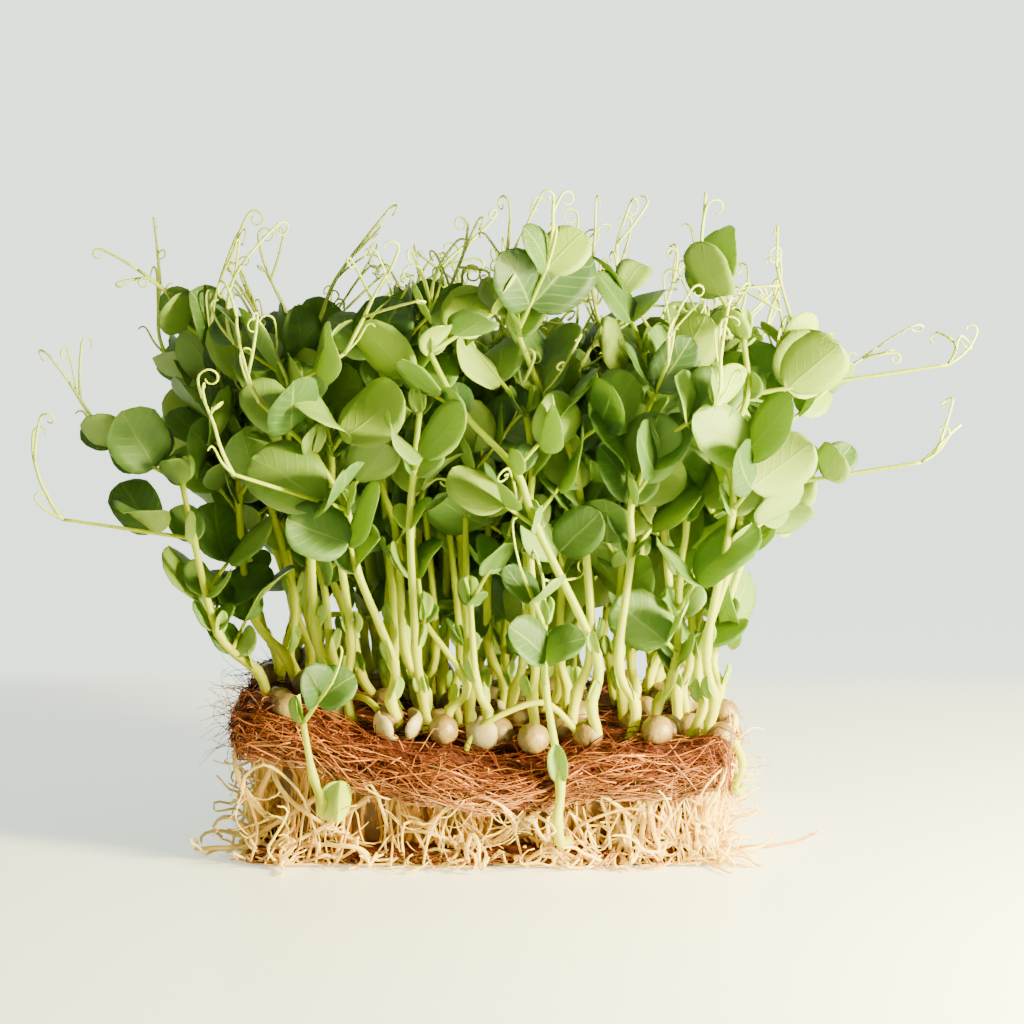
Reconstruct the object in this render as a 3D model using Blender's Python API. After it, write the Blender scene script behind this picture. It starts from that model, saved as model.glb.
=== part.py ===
"""Pea shoots on a coir mat, as lifted out of their growing tray.

Two coir mats with the root felt between them, the peas that sprouted on the upper mat, and
one node for each shoot: its stem, stalks, leaf blades and tendrils grew as one piece.
Lengths are millimetres, Z is up, and the block stands on the plane Z = 0 with the middle of
its flat underside at the origin. Blender's meshes are in metres.
"""

import math
from dataclasses import dataclass

import bmesh
import bpy
import numpy as np
from mathutils import Matrix, Vector
from mathutils.bvhtree import BVHTree

MM = 0.001
SEED = 11
UP = Vector((0.0, 0.0, 1.0))

# The block: both mats are rounded rectangles, and the root felt fills the space between them.
MAT_WIDTH = 130.0
MAT_DEPTH = 100.0
MAT_THICKNESS = 13.5
MAT_BULGE = 1.5
SLAB_ROUNDING = 0.09
LOWER_MAT_THICKNESS = 4.6
LOWER_MAT_INSET = 2.0
LOWER_MAT_BULGE = 0.6
ROOT_INSET = 2.5
ROOT_WAIST = 2.5
UNDERSIDE_HEIGHT = 18.5
LEFT_LIFT = 9.0
LIFT_START = -8.0
MAT_COLUMNS = 14
MAT_ROWS = 10
GAP = 0.4
FOOT_LIFT = 3.0
PEA_LIFT = 0.9

# Unevenness as waves: size, waves along x, waves along y, phase. The top's are millimetres and
# radians per millimetre, and the outline's are shares of the slab's half width and depth.
TOP_WAVES = ((0.9, 0.11, 0.09, 1.3), (0.45, -0.07, 0.14, 0.0))
OUTLINE_WAVES = ((0.012, 7.0, 3.0, 0.0), (0.01, -4.0, 5.0, 1.0))

# Thickness of the parts of a shoot.
PEA_RADIUS = 4.3
PEA_REACH = 3.2
ROOTED_PEA_SEGMENTS = (7, 5)
LOOSE_PEA_SEGMENTS = (10, 7)
STEM_FOOT_RADIUS = 1.55
STEM_TIP_RADIUS = 0.8
STALK_RADIUS = 0.62
TENDRIL_RADIUS = 0.4
TENDRIL_TAPER = 0.7
BLADE_THICKNESS = 0.7
BLADE_OUTLINE = ((0.36, 1.0), (0.72, 0.85))

# Growth of a stem. It has a leaf every LEAF_SPACING down from its tip, and swings from side to
# side by ZIGZAG between them. STEM_REST is where it has points below its leaves.
CANOPY_HEIGHT = 94.0
SHOULDER_DROP = 12.0
HEIGHT_SPREAD = (0.78, 1.0)
OUTWARD_LEAN = 0.24
LEAN_CURVE = 1.4
LEAN_SPREAD = 5.0
ZIGZAG = 1.6
STEM_REST = (0.14, 0.38)
LEAF_SPACING = 15.0
STEM_PER_LEAF = 22.0
MOST_LEAVES = 4

# Growth of a leaf: a stalk, a pair of blades at its second point, which is its knee, and on the
# upper leaves a tendril beyond them.
# Ranges are random between their ends. Angles are degrees, and shares are of the leaf's size.
LEAF_SIZE = (15.0, 19.0)
STALK_RISE = (28.0, 62.0)
STALK_SHARE = (0.45, 0.75)
KNEE = 1
BLADE_SHARE = (0.95, 1.2)
BLADE_RATIO = (0.6, 0.82)
BLADE_SPREAD = (35.0, 70.0)
BLADE_LIFT = (-0.25, 0.5)
FACE_SCATTER = 0.45
FACE_UP = 0.6
FACE_OUT = 0.6
AZIMUTH_SCATTER = 0.4
TENDRIL_SHARE = (0.5, 0.8)
TENDRIL_RISE = 7.0
TENDRIL_TURNS = (-0.6, -0.3, 0.3, 0.6)
TENDRIL_KNEE = 0.4
TENDRIL_SWEEP = 0.15
TENDRIL_LIFT = (0.4, 1.0)
LONG_STALK_RISE = 0.3
HOOK_RADIUS = 2.2
HOOK_SPAN = 12.0
HOOK_CLOSING = 0.45
HOOK_POINTS_PER_TURN = 4

# Steps between points on smooth routes, and room kept between neighbours.
SMOOTH_ANGLE = math.radians(50)
STEM_STEP = 19.0
STALK_STEP = 10.0
SAMPLE_STEP = 3.0
STEM_ROOM = 4.0
LEAF_ROOM = 2.8
PEA_ROOM = 4.4
NEARBY = 8.0
PEA_SIDES = 8
SIDESTEPS = (0, 2, -2, 4, -4, 6, -6, 8, -8)
LEAF_TURNS = (0, 25, -25, 50, -50, 80, -80, 115, -115, 150, -150, 180)
BLADE_SAMPLES = ((0.12, 0.5), (0.3, 0.9), (0.5, 1.0), (0.7, 0.85), (0.88, 0.5), (1.0, 0.0))
BLADE_SPOTS = (-1.0, -0.5, 0.0, 0.5, 1.0)

# Front shoots, each with a habit of its own: name, foot across the mat from -1 at its left end to
# 1 at its right end, foot behind the front edge, stem height as a share of the canopy's, lean of
# the tip to the right, bow of the stem's middle to the right, and reach of its longest stalk.
# Those that cross others come first, because each newcomer keeps clear of the ones before it.
HABITS = (
    ("slanting_shoot", 0.45, 5, 1.05, -45, 5, 0),
    ("arched_shoot", 0.35, 14, 1.1, -15, 10, 0),
    ("split_pea_shoot", -0.35, 6, 0.75, -20, 0, 20),
    ("sprawling_shoot", -0.9, 20, 0.6, -20, -10, 15),
    ("left_bowed_shoot", -0.8, 34, 0.85, -5, -15, 0),
    ("left_upright_shoot", -0.65, 14, 0.9, -10, 0, 0),
    ("short_left_shoot", -0.6, 25, 0.5, -10, 0, 0),
    ("bud_shoot", -0.25, 24, 1.0, -10, -5, 0),
    ("low_sprout", -0.15, 8, 0.3, -5, 5, 0),
    ("forked_sprout", 0.0, 10, 0.35, -5, 0, 0),
    ("centre_shoot", 0.1, 26, 0.8, 0, 5, 0),
    ("hooked_shoot", 0.6, 7, 0.8, 5, -5, 0),
    ("leaning_shoot", 0.7, 18, 0.75, 5, 5, 0),
    ("tendril_shoot", 0.8, 28, 1.05, -10, 0, 0),
    ("right_upright_shoot", 0.9, 10, 1.1, 10, 0, 30),
    ("outer_right_shoot", 0.95, 34, 0.8, 15, 0, 30),
)

# Shoots that come out of the block's front side: name, place across, height of the foot, stem
# length as a share of the canopy's, and lean of the tip to the right.
SIDE_SHOOTS = (
    ("seedling", -0.65, 16, 0.25, -5),
    ("front_shoot", 0.3, 8, 0.6, -5),
)
SIDE_CLEARANCE = 4.5

# Shoots grown by rule behind the front ones, one in each cell of a plot (left, right, front, back).
PLOT = (-58.0, 58.0, -18.0, 40.0)
PLOT_COLUMNS = 7
PLOT_ROWS = 4
PLOT_MARGIN = 0.15
PLOT_TRIES = 16
FEWEST_LEAVES = 2

# Peas without a shoot lie along the front edge, and a root strand trails out in an arc.
LOOSE_PEA_COUNT = 4
LOOSE_PEA_INSET = 5.0
LOOSE_PEA_SCATTER = 6.0
STRAY_ROOT_RADIUS = 0.45
STRAY_ROOT_START = (68.0, -30.0)
STRAY_ROOT_BEND = 24.0
STRAY_ROOT_SWEEP = math.radians(75)
STRAY_ROOT_POINTS = 6

# Colours and roughness of the plain materials.
STEM_GREEN = (0.42, 0.58, 0.14, 1.0)
STEM_ROUGHNESS = 0.45
COIR_BROWN = (0.24, 0.09, 0.04, 1.0)
COIR_ROUGHNESS = 0.95
ROOT_CREAM = (0.86, 0.74, 0.5, 1.0)
ROOT_ROUGHNESS = 0.6
PEA_BEIGE = (0.62, 0.5, 0.28, 1.0)
PEA_ROUGHNESS = 0.5

# Branches that can leave each band of a stem's four sides.
FREE_SIDES = 3

# A direction that no stem or stalk follows, to start their sections from.
SECTION_SIDE = Vector((0.31, 0.87, 0.38))
GOLDEN_ANGLE = math.radians(137.5)


@dataclass
class Blade:
    """A leaf blade: a pointed oval plate from base to tip."""
    base: Vector
    tip: Vector
    ratio: float
    normal: Vector


@dataclass
class Leaf:
    """A stalk from a stem point, the blades at its knee, and the tendrils at its end."""
    node: int
    stalk: list
    blades: list
    tendrils: list


@dataclass
class Shoot:
    """A stem's route from its foot, its leaves, and the middle of its pea if it has one."""
    name: str
    stem: list
    leaves: list
    pea: Vector = None


def wave(waves, x, y):
    return sum(size * math.sin(a * x + b * y + phase) for size, a, b, phase in waves)


def smooth_fraction(t):
    t = min(max(t, 0.0), 1.0)
    return t * t * (3 - 2 * t)


def mat_underside(x):
    """Height of the upper mat's underside: it lifts towards the left end."""
    lift = smooth_fraction((LIFT_START - x) / (MAT_WIDTH / 2 + LIFT_START))
    return UNDERSIDE_HEIGHT + LEFT_LIFT * lift


def mat_top(x, y):
    return mat_underside(x) + MAT_THICKNESS + wave(TOP_WAVES, x, y)


def smooth_route(points, step):
    """Points about a step apart on a Catmull-Rom curve through the route's points, and where those are."""
    route = [Vector(p) for p in points]
    ends = [2 * route[0] - route[1], *route, 2 * route[-1] - route[-2]]
    smooth = [route[0]]
    marks = [0]
    for before, start, end, after in zip(ends, ends[1:], ends[2:], ends[3:]):
        pieces = max(1, round((end - start).length / step))
        for i in range(1, pieces + 1):
            t = i / pieces
            bend = (end - before) * t + (2 * before - 5 * start + 4 * end - after) * t * t
            smooth.append(start + 0.5 * (bend + (3 * start - before - 3 * end + after) * t**3))
        marks.append(len(smooth) - 1)
    return smooth, marks


def across(heading, side):
    """Part of side that is square to heading."""
    return (side - side.dot(heading) * heading).normalized()


def compass(azimuth):
    """Level direction at an angle from +X."""
    return Vector((math.cos(azimuth), math.sin(azimuth), 0.0))


def tendril_route(start, heading, end, turns):
    """A tendril leaves along its stalk, reaches its end point, and hooks round there."""
    span = (end - start).length
    side = heading.cross(end - start)
    side = side.normalized() if side.length > MM * span else Vector((0.0, -1.0, 0.0))
    route = [start, start.lerp(end, TENDRIL_KNEE) + heading * span * TENDRIL_SWEEP, end]
    forward = (route[2] - route[1]).normalized()
    inward = side.cross(forward) * math.copysign(1.0, turns)
    hook = HOOK_RADIUS * min(1.0, span / HOOK_SPAN)
    steps = math.ceil(abs(turns) * HOOK_POINTS_PER_TURN)
    for i in range(1, steps + 1):
        angle = 2 * math.pi * abs(turns) * i / steps
        shrink = hook * (1 - HOOK_CLOSING * i / steps)
        route.append(end + forward * shrink * math.sin(angle) + inward * (hook - shrink * math.cos(angle)))
    return route


def grow_pair(knee, heading, out, size, rng):
    """A pair of blades that spread from a stalk and face up and outwards."""
    side = across(heading, out.cross(UP))
    blades = []
    for hand in (-1, 1):
        spread = math.radians(rng.uniform(*BLADE_SPREAD))
        axis = heading * math.cos(spread) + side * hand * math.sin(spread)
        axis = (axis + UP * rng.uniform(*BLADE_LIFT)).normalized()
        face = Vector(rng.normal(0, FACE_SCATTER, 3)) + UP * FACE_UP + out * FACE_OUT
        tip = knee + axis * size * rng.uniform(*BLADE_SHARE)
        blades.append(Blade(knee, tip, rng.uniform(*BLADE_RATIO), across(axis, face)))
    return blades


def plan_leaf(node, start, azimuth, size, reach, rng, with_tendril):
    """A leaf at a stem point. Reach is how far its stalk runs on beyond its blades."""
    rise = math.radians(rng.uniform(*STALK_RISE)) * (LONG_STALK_RISE if reach else 1.0)
    out = compass(azimuth)
    heading = out * math.cos(rise) + UP * math.sin(rise)
    knee = start + heading * size * rng.uniform(*STALK_SHARE)
    blades = grow_pair(knee, heading, out, size, rng)
    if not with_tendril:
        return Leaf(node, [start, knee], blades, [])
    end = knee + heading * (reach + size * rng.uniform(*TENDRIL_SHARE))
    tip = end + heading * TENDRIL_RISE + UP * TENDRIL_RISE * rng.uniform(*TENDRIL_LIFT)
    return Leaf(node, [start, knee, end], blades, [(tip, rng.choice(TENDRIL_TURNS))])


def plan_stem(foot, height, lean, bow, heading, leaf_count):
    """A stem that leans more the higher it gets, bows in its middle, and zigzags at its leaves."""
    lowest = 1 - (leaf_count - 1) * LEAF_SPACING / height
    leaf_places = [lowest + (1 - lowest) * i / max(1, leaf_count - 1) for i in range(leaf_count)]
    if leaf_count == 1:
        leaf_places = [1.0]
    stem = [foot]
    for i, t in enumerate([*(lowest * rest for rest in STEM_REST), *leaf_places]):
        swing = compass(heading) * ZIGZAG * (-1) ** i
        bowed = Vector((bow, 0, 0)) * math.sin(math.pi * t)
        stem.append(foot + UP * height * t + lean * t**LEAN_CURVE + bowed + swing)
    return stem


def plan_shoot(name, foot, height, lean, bow, reach, rng):
    """A shoot with leaves on alternate sides of its stem."""
    leaf_count = min(MOST_LEAVES, max(1, int(height / STEM_PER_LEAF)))
    heading = rng.uniform(0, 2 * math.pi)
    stem = plan_stem(foot, height, lean, bow, heading, leaf_count)
    first = len(stem) - leaf_count
    leaves = []
    for i in range(leaf_count):
        azimuth = heading + math.pi * i + rng.normal(0, AZIMUTH_SCATTER)
        longest = reach if i == leaf_count - 2 else 0
        if longest:
            azimuth = math.pi * (lean.x < 0) + rng.normal(0, AZIMUTH_SCATTER / 2)
        size = rng.uniform(*LEAF_SIZE)
        ends = i == leaf_count - 1 or bool(longest)
        leaves.append(plan_leaf(first + i, stem[first + i], azimuth, size, longest, rng, ends))
    return Shoot(name, stem, leaves)


def habit_shoot(row, rng):
    """A front shoot from its row of driving dimensions."""
    name, place_across, back, share, lean, bow, reach = row
    x = place_across * MAT_WIDTH / 2
    y = back - MAT_DEPTH / 2
    foot = Vector((x, y, mat_top(x, y) + FOOT_LIFT))
    tip_lean = Vector((lean, rng.normal(0, LEAN_SPREAD / 2), 0))
    return plan_shoot(name, foot, CANOPY_HEIGHT * share, tip_lean, bow, reach, rng)


def side_shoot(row, rng):
    """A shoot that comes out of the block's front side."""
    name, place_across, foot_height, share, lean = row
    foot = Vector((place_across * MAT_WIDTH / 2, -MAT_DEPTH / 2 - SIDE_CLEARANCE, foot_height))
    return plan_shoot(name, foot, CANOPY_HEIGHT * share, Vector((lean, 0, 0)), 0, 0, rng)


def plot_shoot(name, x, y, rng):
    """A shoot grown by rule: lower towards the mat's ends, and leaning outwards there."""
    height = (CANOPY_HEIGHT - SHOULDER_DROP * (2 * x / MAT_WIDTH) ** 2) * rng.uniform(*HEIGHT_SPREAD)
    scatter = compass(rng.uniform(0, 2 * math.pi)) * LEAN_SPREAD
    lean = Vector((OUTWARD_LEAN * x, OUTWARD_LEAN * max(y, 0), 0)) + scatter
    foot = Vector((x, y, mat_top(x, y) + FOOT_LIFT))
    return plan_shoot(name, foot, height, lean, rng.normal(0, LEAN_SPREAD / 2), 0, rng)


def along(points, step):
    """Sample points on straight runs, a step apart."""
    samples = []
    for start, end in zip(points, points[1:]):
        count = max(1, math.ceil((end - start).length / step))
        samples += [start.lerp(end, i / count) for i in range(count)]
    return samples + [points[-1]]


def over_blade(blade):
    """Sample points over a blade: along its midrib and out to both edges."""
    axis = blade.tip - blade.base
    side = axis.cross(blade.normal).normalized() * axis.length * blade.ratio / 2
    return [blade.base + axis * t + side * width * spot for t, width in BLADE_SAMPLES for spot in BLADE_SPOTS]


class Crowd:
    """Sample points of all that stands on the mat so far, so that newcomers keep clear of it."""

    def __init__(self):
        self.points = np.empty((0, 3))

    def room(self, samples):
        """Smallest distance between the samples and the points already there."""
        if not len(self.points):
            return math.inf
        spots = np.array([tuple(p) for p in samples])
        low, high = spots.min(0) - NEARBY, spots.max(0) + NEARBY
        near = self.points[((self.points > low) & (self.points < high)).all(1)]
        if not len(near):
            return math.inf
        return float(np.sqrt(((spots[:, None] - near[None]) ** 2).sum(2).min()))

    def add(self, samples):
        if samples:
            self.points = np.vstack([self.points, [tuple(p) for p in samples]])

    def without(self, samples):
        """The crowd less the points of one of its own members."""
        own = {tuple(np.float64(v) for v in p) for p in samples}
        rest = Crowd()
        rest.points = np.array([p for p in self.points if tuple(p) not in own]).reshape(-1, 3)
        return rest


def shifted(shoot, dy):
    """The same shoot, moved back or forward. One that stands on the mat follows its height."""
    foot = shoot.stem[0]
    on_mat = abs(foot.y) < MAT_DEPTH / 2
    step = Vector((0, dy, mat_top(foot.x, foot.y + dy) - mat_top(foot.x, foot.y) if on_mat else 0))
    leaves = []
    for leaf in shoot.leaves:
        blades = [Blade(b.base + step, b.tip + step, b.ratio, b.normal) for b in leaf.blades]
        stalk = [p + step for p in leaf.stalk]
        tendrils = [(end + step, turns) for end, turns in leaf.tendrils]
        leaves.append(Leaf(leaf.node, stalk, blades, tendrils))
    return Shoot(shoot.name, [p + step for p in shoot.stem], leaves)


def stem_samples(shoot):
    return along(smooth_route(shoot.stem, STEM_STEP)[0], SAMPLE_STEP)


def turned(leaf, angle):
    """The same leaf, turned about the upright axis through its stem point."""
    turn = Matrix.Rotation(math.radians(angle), 3, "Z")
    start = leaf.stalk[0]
    stalk = [start + turn @ (p - start) for p in leaf.stalk]
    tendrils = [(start + turn @ (end - start), turns) for end, turns in leaf.tendrils]
    blades = []
    for blade in leaf.blades:
        base, tip = (start + turn @ (p - start) for p in (blade.base, blade.tip))
        blades.append(Blade(base, tip, blade.ratio, turn @ blade.normal))
    return Leaf(leaf.node, stalk, blades, tendrils)


def leaf_samples(leaf):
    """Sample points of a leaf, past the start of its stalk."""
    samples = along(leaf.stalk, SAMPLE_STEP)[1:]
    for blade in leaf.blades:
        samples += over_blade(blade)
    for end, _ in leaf.tendrils:
        samples += along([leaf.stalk[-1], end], SAMPLE_STEP)[1:]
    return samples


def pea_samples(centre):
    """A pea's middle and the points of its surface to the sides and above."""
    ways = ((0, 0, 0), (1, 0, 0), (-1, 0, 0), (0, 1, 0), (0, -1, 0), (0, 0, 1))
    return [centre + Vector(way) * PEA_RADIUS for way in ways]


def stand(shoot, crowd):
    """Stand a shoot where its stem is clear, moving it back or forward. None if it never is."""
    for dy in SIDESTEPS:
        moved = shifted(shoot, dy)
        if crowd.room(stem_samples(moved)) > STEM_ROOM:
            crowd.add(stem_samples(moved))
            return moved
    return None


def give_pea(shoot, crowd):
    """Lay a shoot's pea on the mat beside its foot, on the first side that is free."""
    for i in range(PEA_SIDES):
        pea = shoot.stem[0] + compass(i * GOLDEN_ANGLE) * PEA_REACH
        pea.z = mat_top(pea.x, pea.y) + PEA_RADIUS + PEA_LIFT
        inside = abs(pea.x) < MAT_WIDTH / 2 and abs(pea.y) < MAT_DEPTH / 2
        others = crowd.without(stem_samples(shoot))
        if inside and others.room(pea_samples(pea)) > PEA_ROOM:
            shoot.pea = pea
            crowd.add(pea_samples(pea))
            return


def spread_leaves(shoot, crowd):
    """Turn each leaf about the stem until it clears its neighbours, or leave it out."""
    others = crowd.without(stem_samples(shoot))
    settled = []
    for leaf in shoot.leaves:
        choices = (turned(leaf, angle) for angle in LEAF_TURNS)
        clear = next((choice for choice in choices if others.room(leaf_samples(choice)) > LEAF_ROOM), None)
        if clear:
            settled.append(clear)
    shoot.leaves = settled
    for leaf in settled:
        crowd.add(leaf_samples(leaf))


def loose_pea_places():
    """Middles of the peas that lie along the front edge without a shoot."""
    rng = np.random.default_rng(SEED + 1)
    places = []
    for i in range(LOOSE_PEA_COUNT):
        x = MAT_WIDTH * ((i + 0.5) / LOOSE_PEA_COUNT - 0.5) + rng.uniform(-1, 1) * LOOSE_PEA_SCATTER
        y = LOOSE_PEA_INSET - MAT_DEPTH / 2
        places.append(Vector((x, y, mat_top(x, y) + PEA_RADIUS + PEA_LIFT)))
    return places


def plan_shoots():
    """All shoots: the front ones by their habits, then one by rule in each cell behind them."""
    rng = np.random.default_rng(SEED)
    crowd = Crowd()
    for place_of_pea in loose_pea_places():
        crowd.add(pea_samples(place_of_pea))
    planned = [habit_shoot(row, rng) for row in HABITS] + [side_shoot(row, rng) for row in SIDE_SHOOTS]
    shoots = [shoot for shoot in (stand(plan, crowd) for plan in planned) if shoot]
    for shoot in shoots:
        give_pea(shoot, crowd)
    for shoot in shoots:
        spread_leaves(shoot, crowd)
    left, right, front, back = PLOT
    for number in range(PLOT_COLUMNS * PLOT_ROWS):
        column, row = number % PLOT_COLUMNS, number // PLOT_COLUMNS
        for _ in range(PLOT_TRIES):
            part_x, part_y = rng.uniform(PLOT_MARGIN, 1 - PLOT_MARGIN, 2)
            x = left + (right - left) * (column + part_x) / PLOT_COLUMNS
            y = front + (back - front) * (row + part_y) / PLOT_ROWS
            before = crowd.points
            shoot = stand(plot_shoot(f"shoot_{number + 1:02d}", x, y, rng), crowd)
            if shoot:
                give_pea(shoot, crowd)
                spread_leaves(shoot, crowd)
            if shoot and len(shoot.leaves) >= FEWEST_LEAVES:
                shoots.append(shoot)
                break
            crowd.points = before
    return shoots


def clear_scene():
    for thing in list(bpy.data.objects):
        bpy.data.objects.remove(thing, do_unlink=True)


def material(name, colour, roughness):
    """A Principled material of one colour."""
    made = bpy.data.materials.new(name)
    made.use_nodes = True
    shader = made.node_tree.nodes["Principled BSDF"]
    shader.inputs["Base Color"].default_value = colour
    shader.inputs["Roughness"].default_value = roughness
    shader.inputs["Metallic"].default_value = 0.0
    made.diffuse_color = colour
    return made


def place(name, shape, finish):
    """Close a bmesh and put it in the scene as a named object with smooth round sides."""
    bmesh.ops.triangulate(shape, faces=shape.faces[:])
    bmesh.ops.recalc_face_normals(shape, faces=shape.faces[:])
    mesh = bpy.data.meshes.new(name)
    shape.to_mesh(mesh)
    shape.free()
    mesh.materials.append(finish)
    mesh.shade_smooth()
    mesh.set_sharp_from_angle(angle=SMOOTH_ANGLE)
    thing = bpy.data.objects.new(name, mesh)
    bpy.context.collection.objects.link(thing)
    return thing


def ring(shape, centre, along_route, wide, half_width, half_height):
    """Four new corners about a centre, in order round the route."""
    tall = along_route.cross(wide).normalized()
    wide = tall.cross(along_route).normalized()
    signs = ((1, 1), (-1, 1), (-1, -1), (1, -1))
    corners = [centre + wide * half_width * a + tall * half_height * b for a, b in signs]
    return [shape.verts.new(corner * MM) for corner in corners]


def skin(shape, last, new):
    """Four side faces between two loops of four corners, matched so that they don't twist."""
    shift = min(range(4), key=lambda k: sum((last[i].co - new[(i + k) % 4].co).length for i in range(4)))
    new = [new[(i + shift) % 4] for i in range(4)]
    sides = [shape.faces.new((last[i], last[(i + 1) % 4], new[(i + 1) % 4], new[i])) for i in range(4)]
    return new, sides


def tangent(points, i):
    return (points[min(i + 1, len(points) - 1)] - points[max(i - 1, 0)]).normalized()


def grow_branch(shape, last, points, radii, crowded):
    """Extend a loop along points, or start a new one. Returns the faces where branches can start.

    crowded gives how many branches leave from each point. The end has a cap to start from too.
    """
    sockets = {}
    for i, point in enumerate(points):
        if i == 0 and last:
            continue
        heading = tangent(points, i)
        radius = radii[0] + (radii[1] - radii[0]) * i / max(1, len(points) - 1)
        bands = math.ceil(crowded.get(i, 0) / FREE_SIDES)
        for k in range(bands + 1):
            spot = point + heading * (k - bands / 2) * 2 * radius
            new = ring(shape, spot, heading, SECTION_SIDE, radius, radius)
            if last is None:
                shape.faces.new(tuple(reversed(new)))
                last = new
                continue
            last, sides = skin(shape, last, new)
            if k:
                sockets.setdefault(i, []).extend(sides)
    cap = shape.faces.new(tuple(last))
    sockets.setdefault(len(points) - 1, []).append(cap)
    return sockets


def open_socket(shape, faces, heading):
    """Take the free face that looks most along the heading, and return its corners as a loop."""
    for face in faces:
        face.normal_update()
    chosen = max(faces, key=lambda face: face.normal.dot(heading))
    faces.remove(chosen)
    loop = list(chosen.verts)
    shape.faces.remove(chosen)
    return loop


def grow_blade(shape, faces, blade):
    """A leaf blade: the branch flattens to a plate, widens, and closes at the tip."""
    axis = blade.tip - blade.base
    last = open_socket(shape, faces, axis.normalized())
    wide = axis.cross(blade.normal).normalized()
    for t, width in BLADE_OUTLINE:
        half = axis.length * blade.ratio / 2 * width
        new = ring(shape, blade.base + axis * t, axis.normalized(), wide, half, BLADE_THICKNESS / 2)
        last, _ = skin(shape, last, new)
    tip = shape.verts.new(blade.tip * MM)
    for i in range(4):
        shape.faces.new((last[i], last[(i + 1) % 4], tip))


def grow_leaf(shape, faces, leaf):
    """A leaf on one of the faces of its stem: stalk, blades and tendrils."""
    points, marks = smooth_route(leaf.stalk, STALK_STEP)
    start = open_socket(shape, faces, (points[1] - points[0]).normalized())
    knee, last = marks[KNEE], len(points) - 1
    crowded = {knee: len(leaf.blades)}
    crowded[last] = crowded.get(last, 0) + len(leaf.tendrils)
    sockets = grow_branch(shape, start, points, (STALK_RADIUS, TENDRIL_RADIUS), crowded)
    for blade in leaf.blades:
        grow_blade(shape, sockets[knee], blade)
    heading = tangent(points, last)
    for end, turns in leaf.tendrils:
        route = tendril_route(leaf.stalk[-1], heading, end, turns)
        start = open_socket(shape, sockets[last], (route[1] - route[0]).normalized())
        grow_branch(shape, start, route, (TENDRIL_RADIUS, TENDRIL_RADIUS * TENDRIL_TAPER), {})


def add_ball(shape, centre, segments):
    """A ball of a pea's size in a bmesh."""
    return bmesh.ops.create_uvsphere(
        shape, u_segments=segments[0], v_segments=segments[1],
        radius=PEA_RADIUS * MM, matrix=Matrix.Translation(centre * MM),
    )


def grow_pea(shape, faces, centre):
    """A round pea, bridged to one of the faces at the foot of its stem."""
    made = add_ball(shape, centre, ROOTED_PEA_SEGMENTS)
    quads = {face for vert in made["verts"] for face in vert.link_faces if len(face.verts) == 4}
    foot = sum((face.calc_center_median() for face in faces), Vector()) / len(faces)
    towards = (foot - centre * MM).normalized()
    last = open_socket(shape, faces, -towards)
    mouth = open_socket(shape, sorted(quads, key=lambda face: face.index), towards)
    skin(shape, last, mouth[::-1])


def make_shoot(shoot, finish):
    """One closed solid: the stem, its pea, and every leaf grown out of its sides."""
    shape = bmesh.new()
    points, marks = smooth_route(shoot.stem, STEM_STEP)
    crowded = {0: 1 if shoot.pea else 0}
    for leaf in shoot.leaves:
        mark = marks[leaf.node]
        crowded[mark] = crowded.get(mark, 0) + 1
    sockets = grow_branch(shape, None, points, (STEM_FOOT_RADIUS, STEM_TIP_RADIUS), crowded)
    for leaf in shoot.leaves:
        grow_leaf(shape, sockets[marks[leaf.node]], leaf)
    if shoot.pea:
        grow_pea(shape, sockets[0], shoot.pea)
    return place(shoot.name, shape, finish)


def tree_of(thing):
    """A search tree over an object's triangles."""
    mesh = thing.data
    return BVHTree.FromPolygons([v.co for v in mesh.vertices], [tuple(p.vertices) for p in mesh.polygons])


def make_clear_shoot(shoot, finish, neighbours):
    """Make a shoot with those of its leaves that cut no neighbour. A stem that cuts one isn't made."""
    kept = []
    for leaf in [None, *shoot.leaves]:
        shoot.leaves = [*kept, leaf] if leaf else []
        thing = make_shoot(shoot, finish)
        tree = tree_of(thing)
        clear = not any(tree.overlap(other) for other in neighbours)
        bpy.data.objects.remove(thing)
        if leaf and clear:
            kept.append(leaf)
        if not leaf and not clear:
            return
    shoot.leaves = kept
    neighbours.append(tree_of(make_shoot(shoot, finish)))


def slab_outline(u, v, width, depth):
    """Place on a slab for u and v from -1 to 1: a rectangle with round, slightly uneven sides."""
    uneven = 1 + wave(OUTLINE_WAVES, u, v)
    x = width / 2 * u * math.sqrt(1 - SLAB_ROUNDING * v * v) * uneven
    y = depth / 2 * v * math.sqrt(1 - SLAB_ROUNDING * u * u) * uneven
    return x, y


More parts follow.
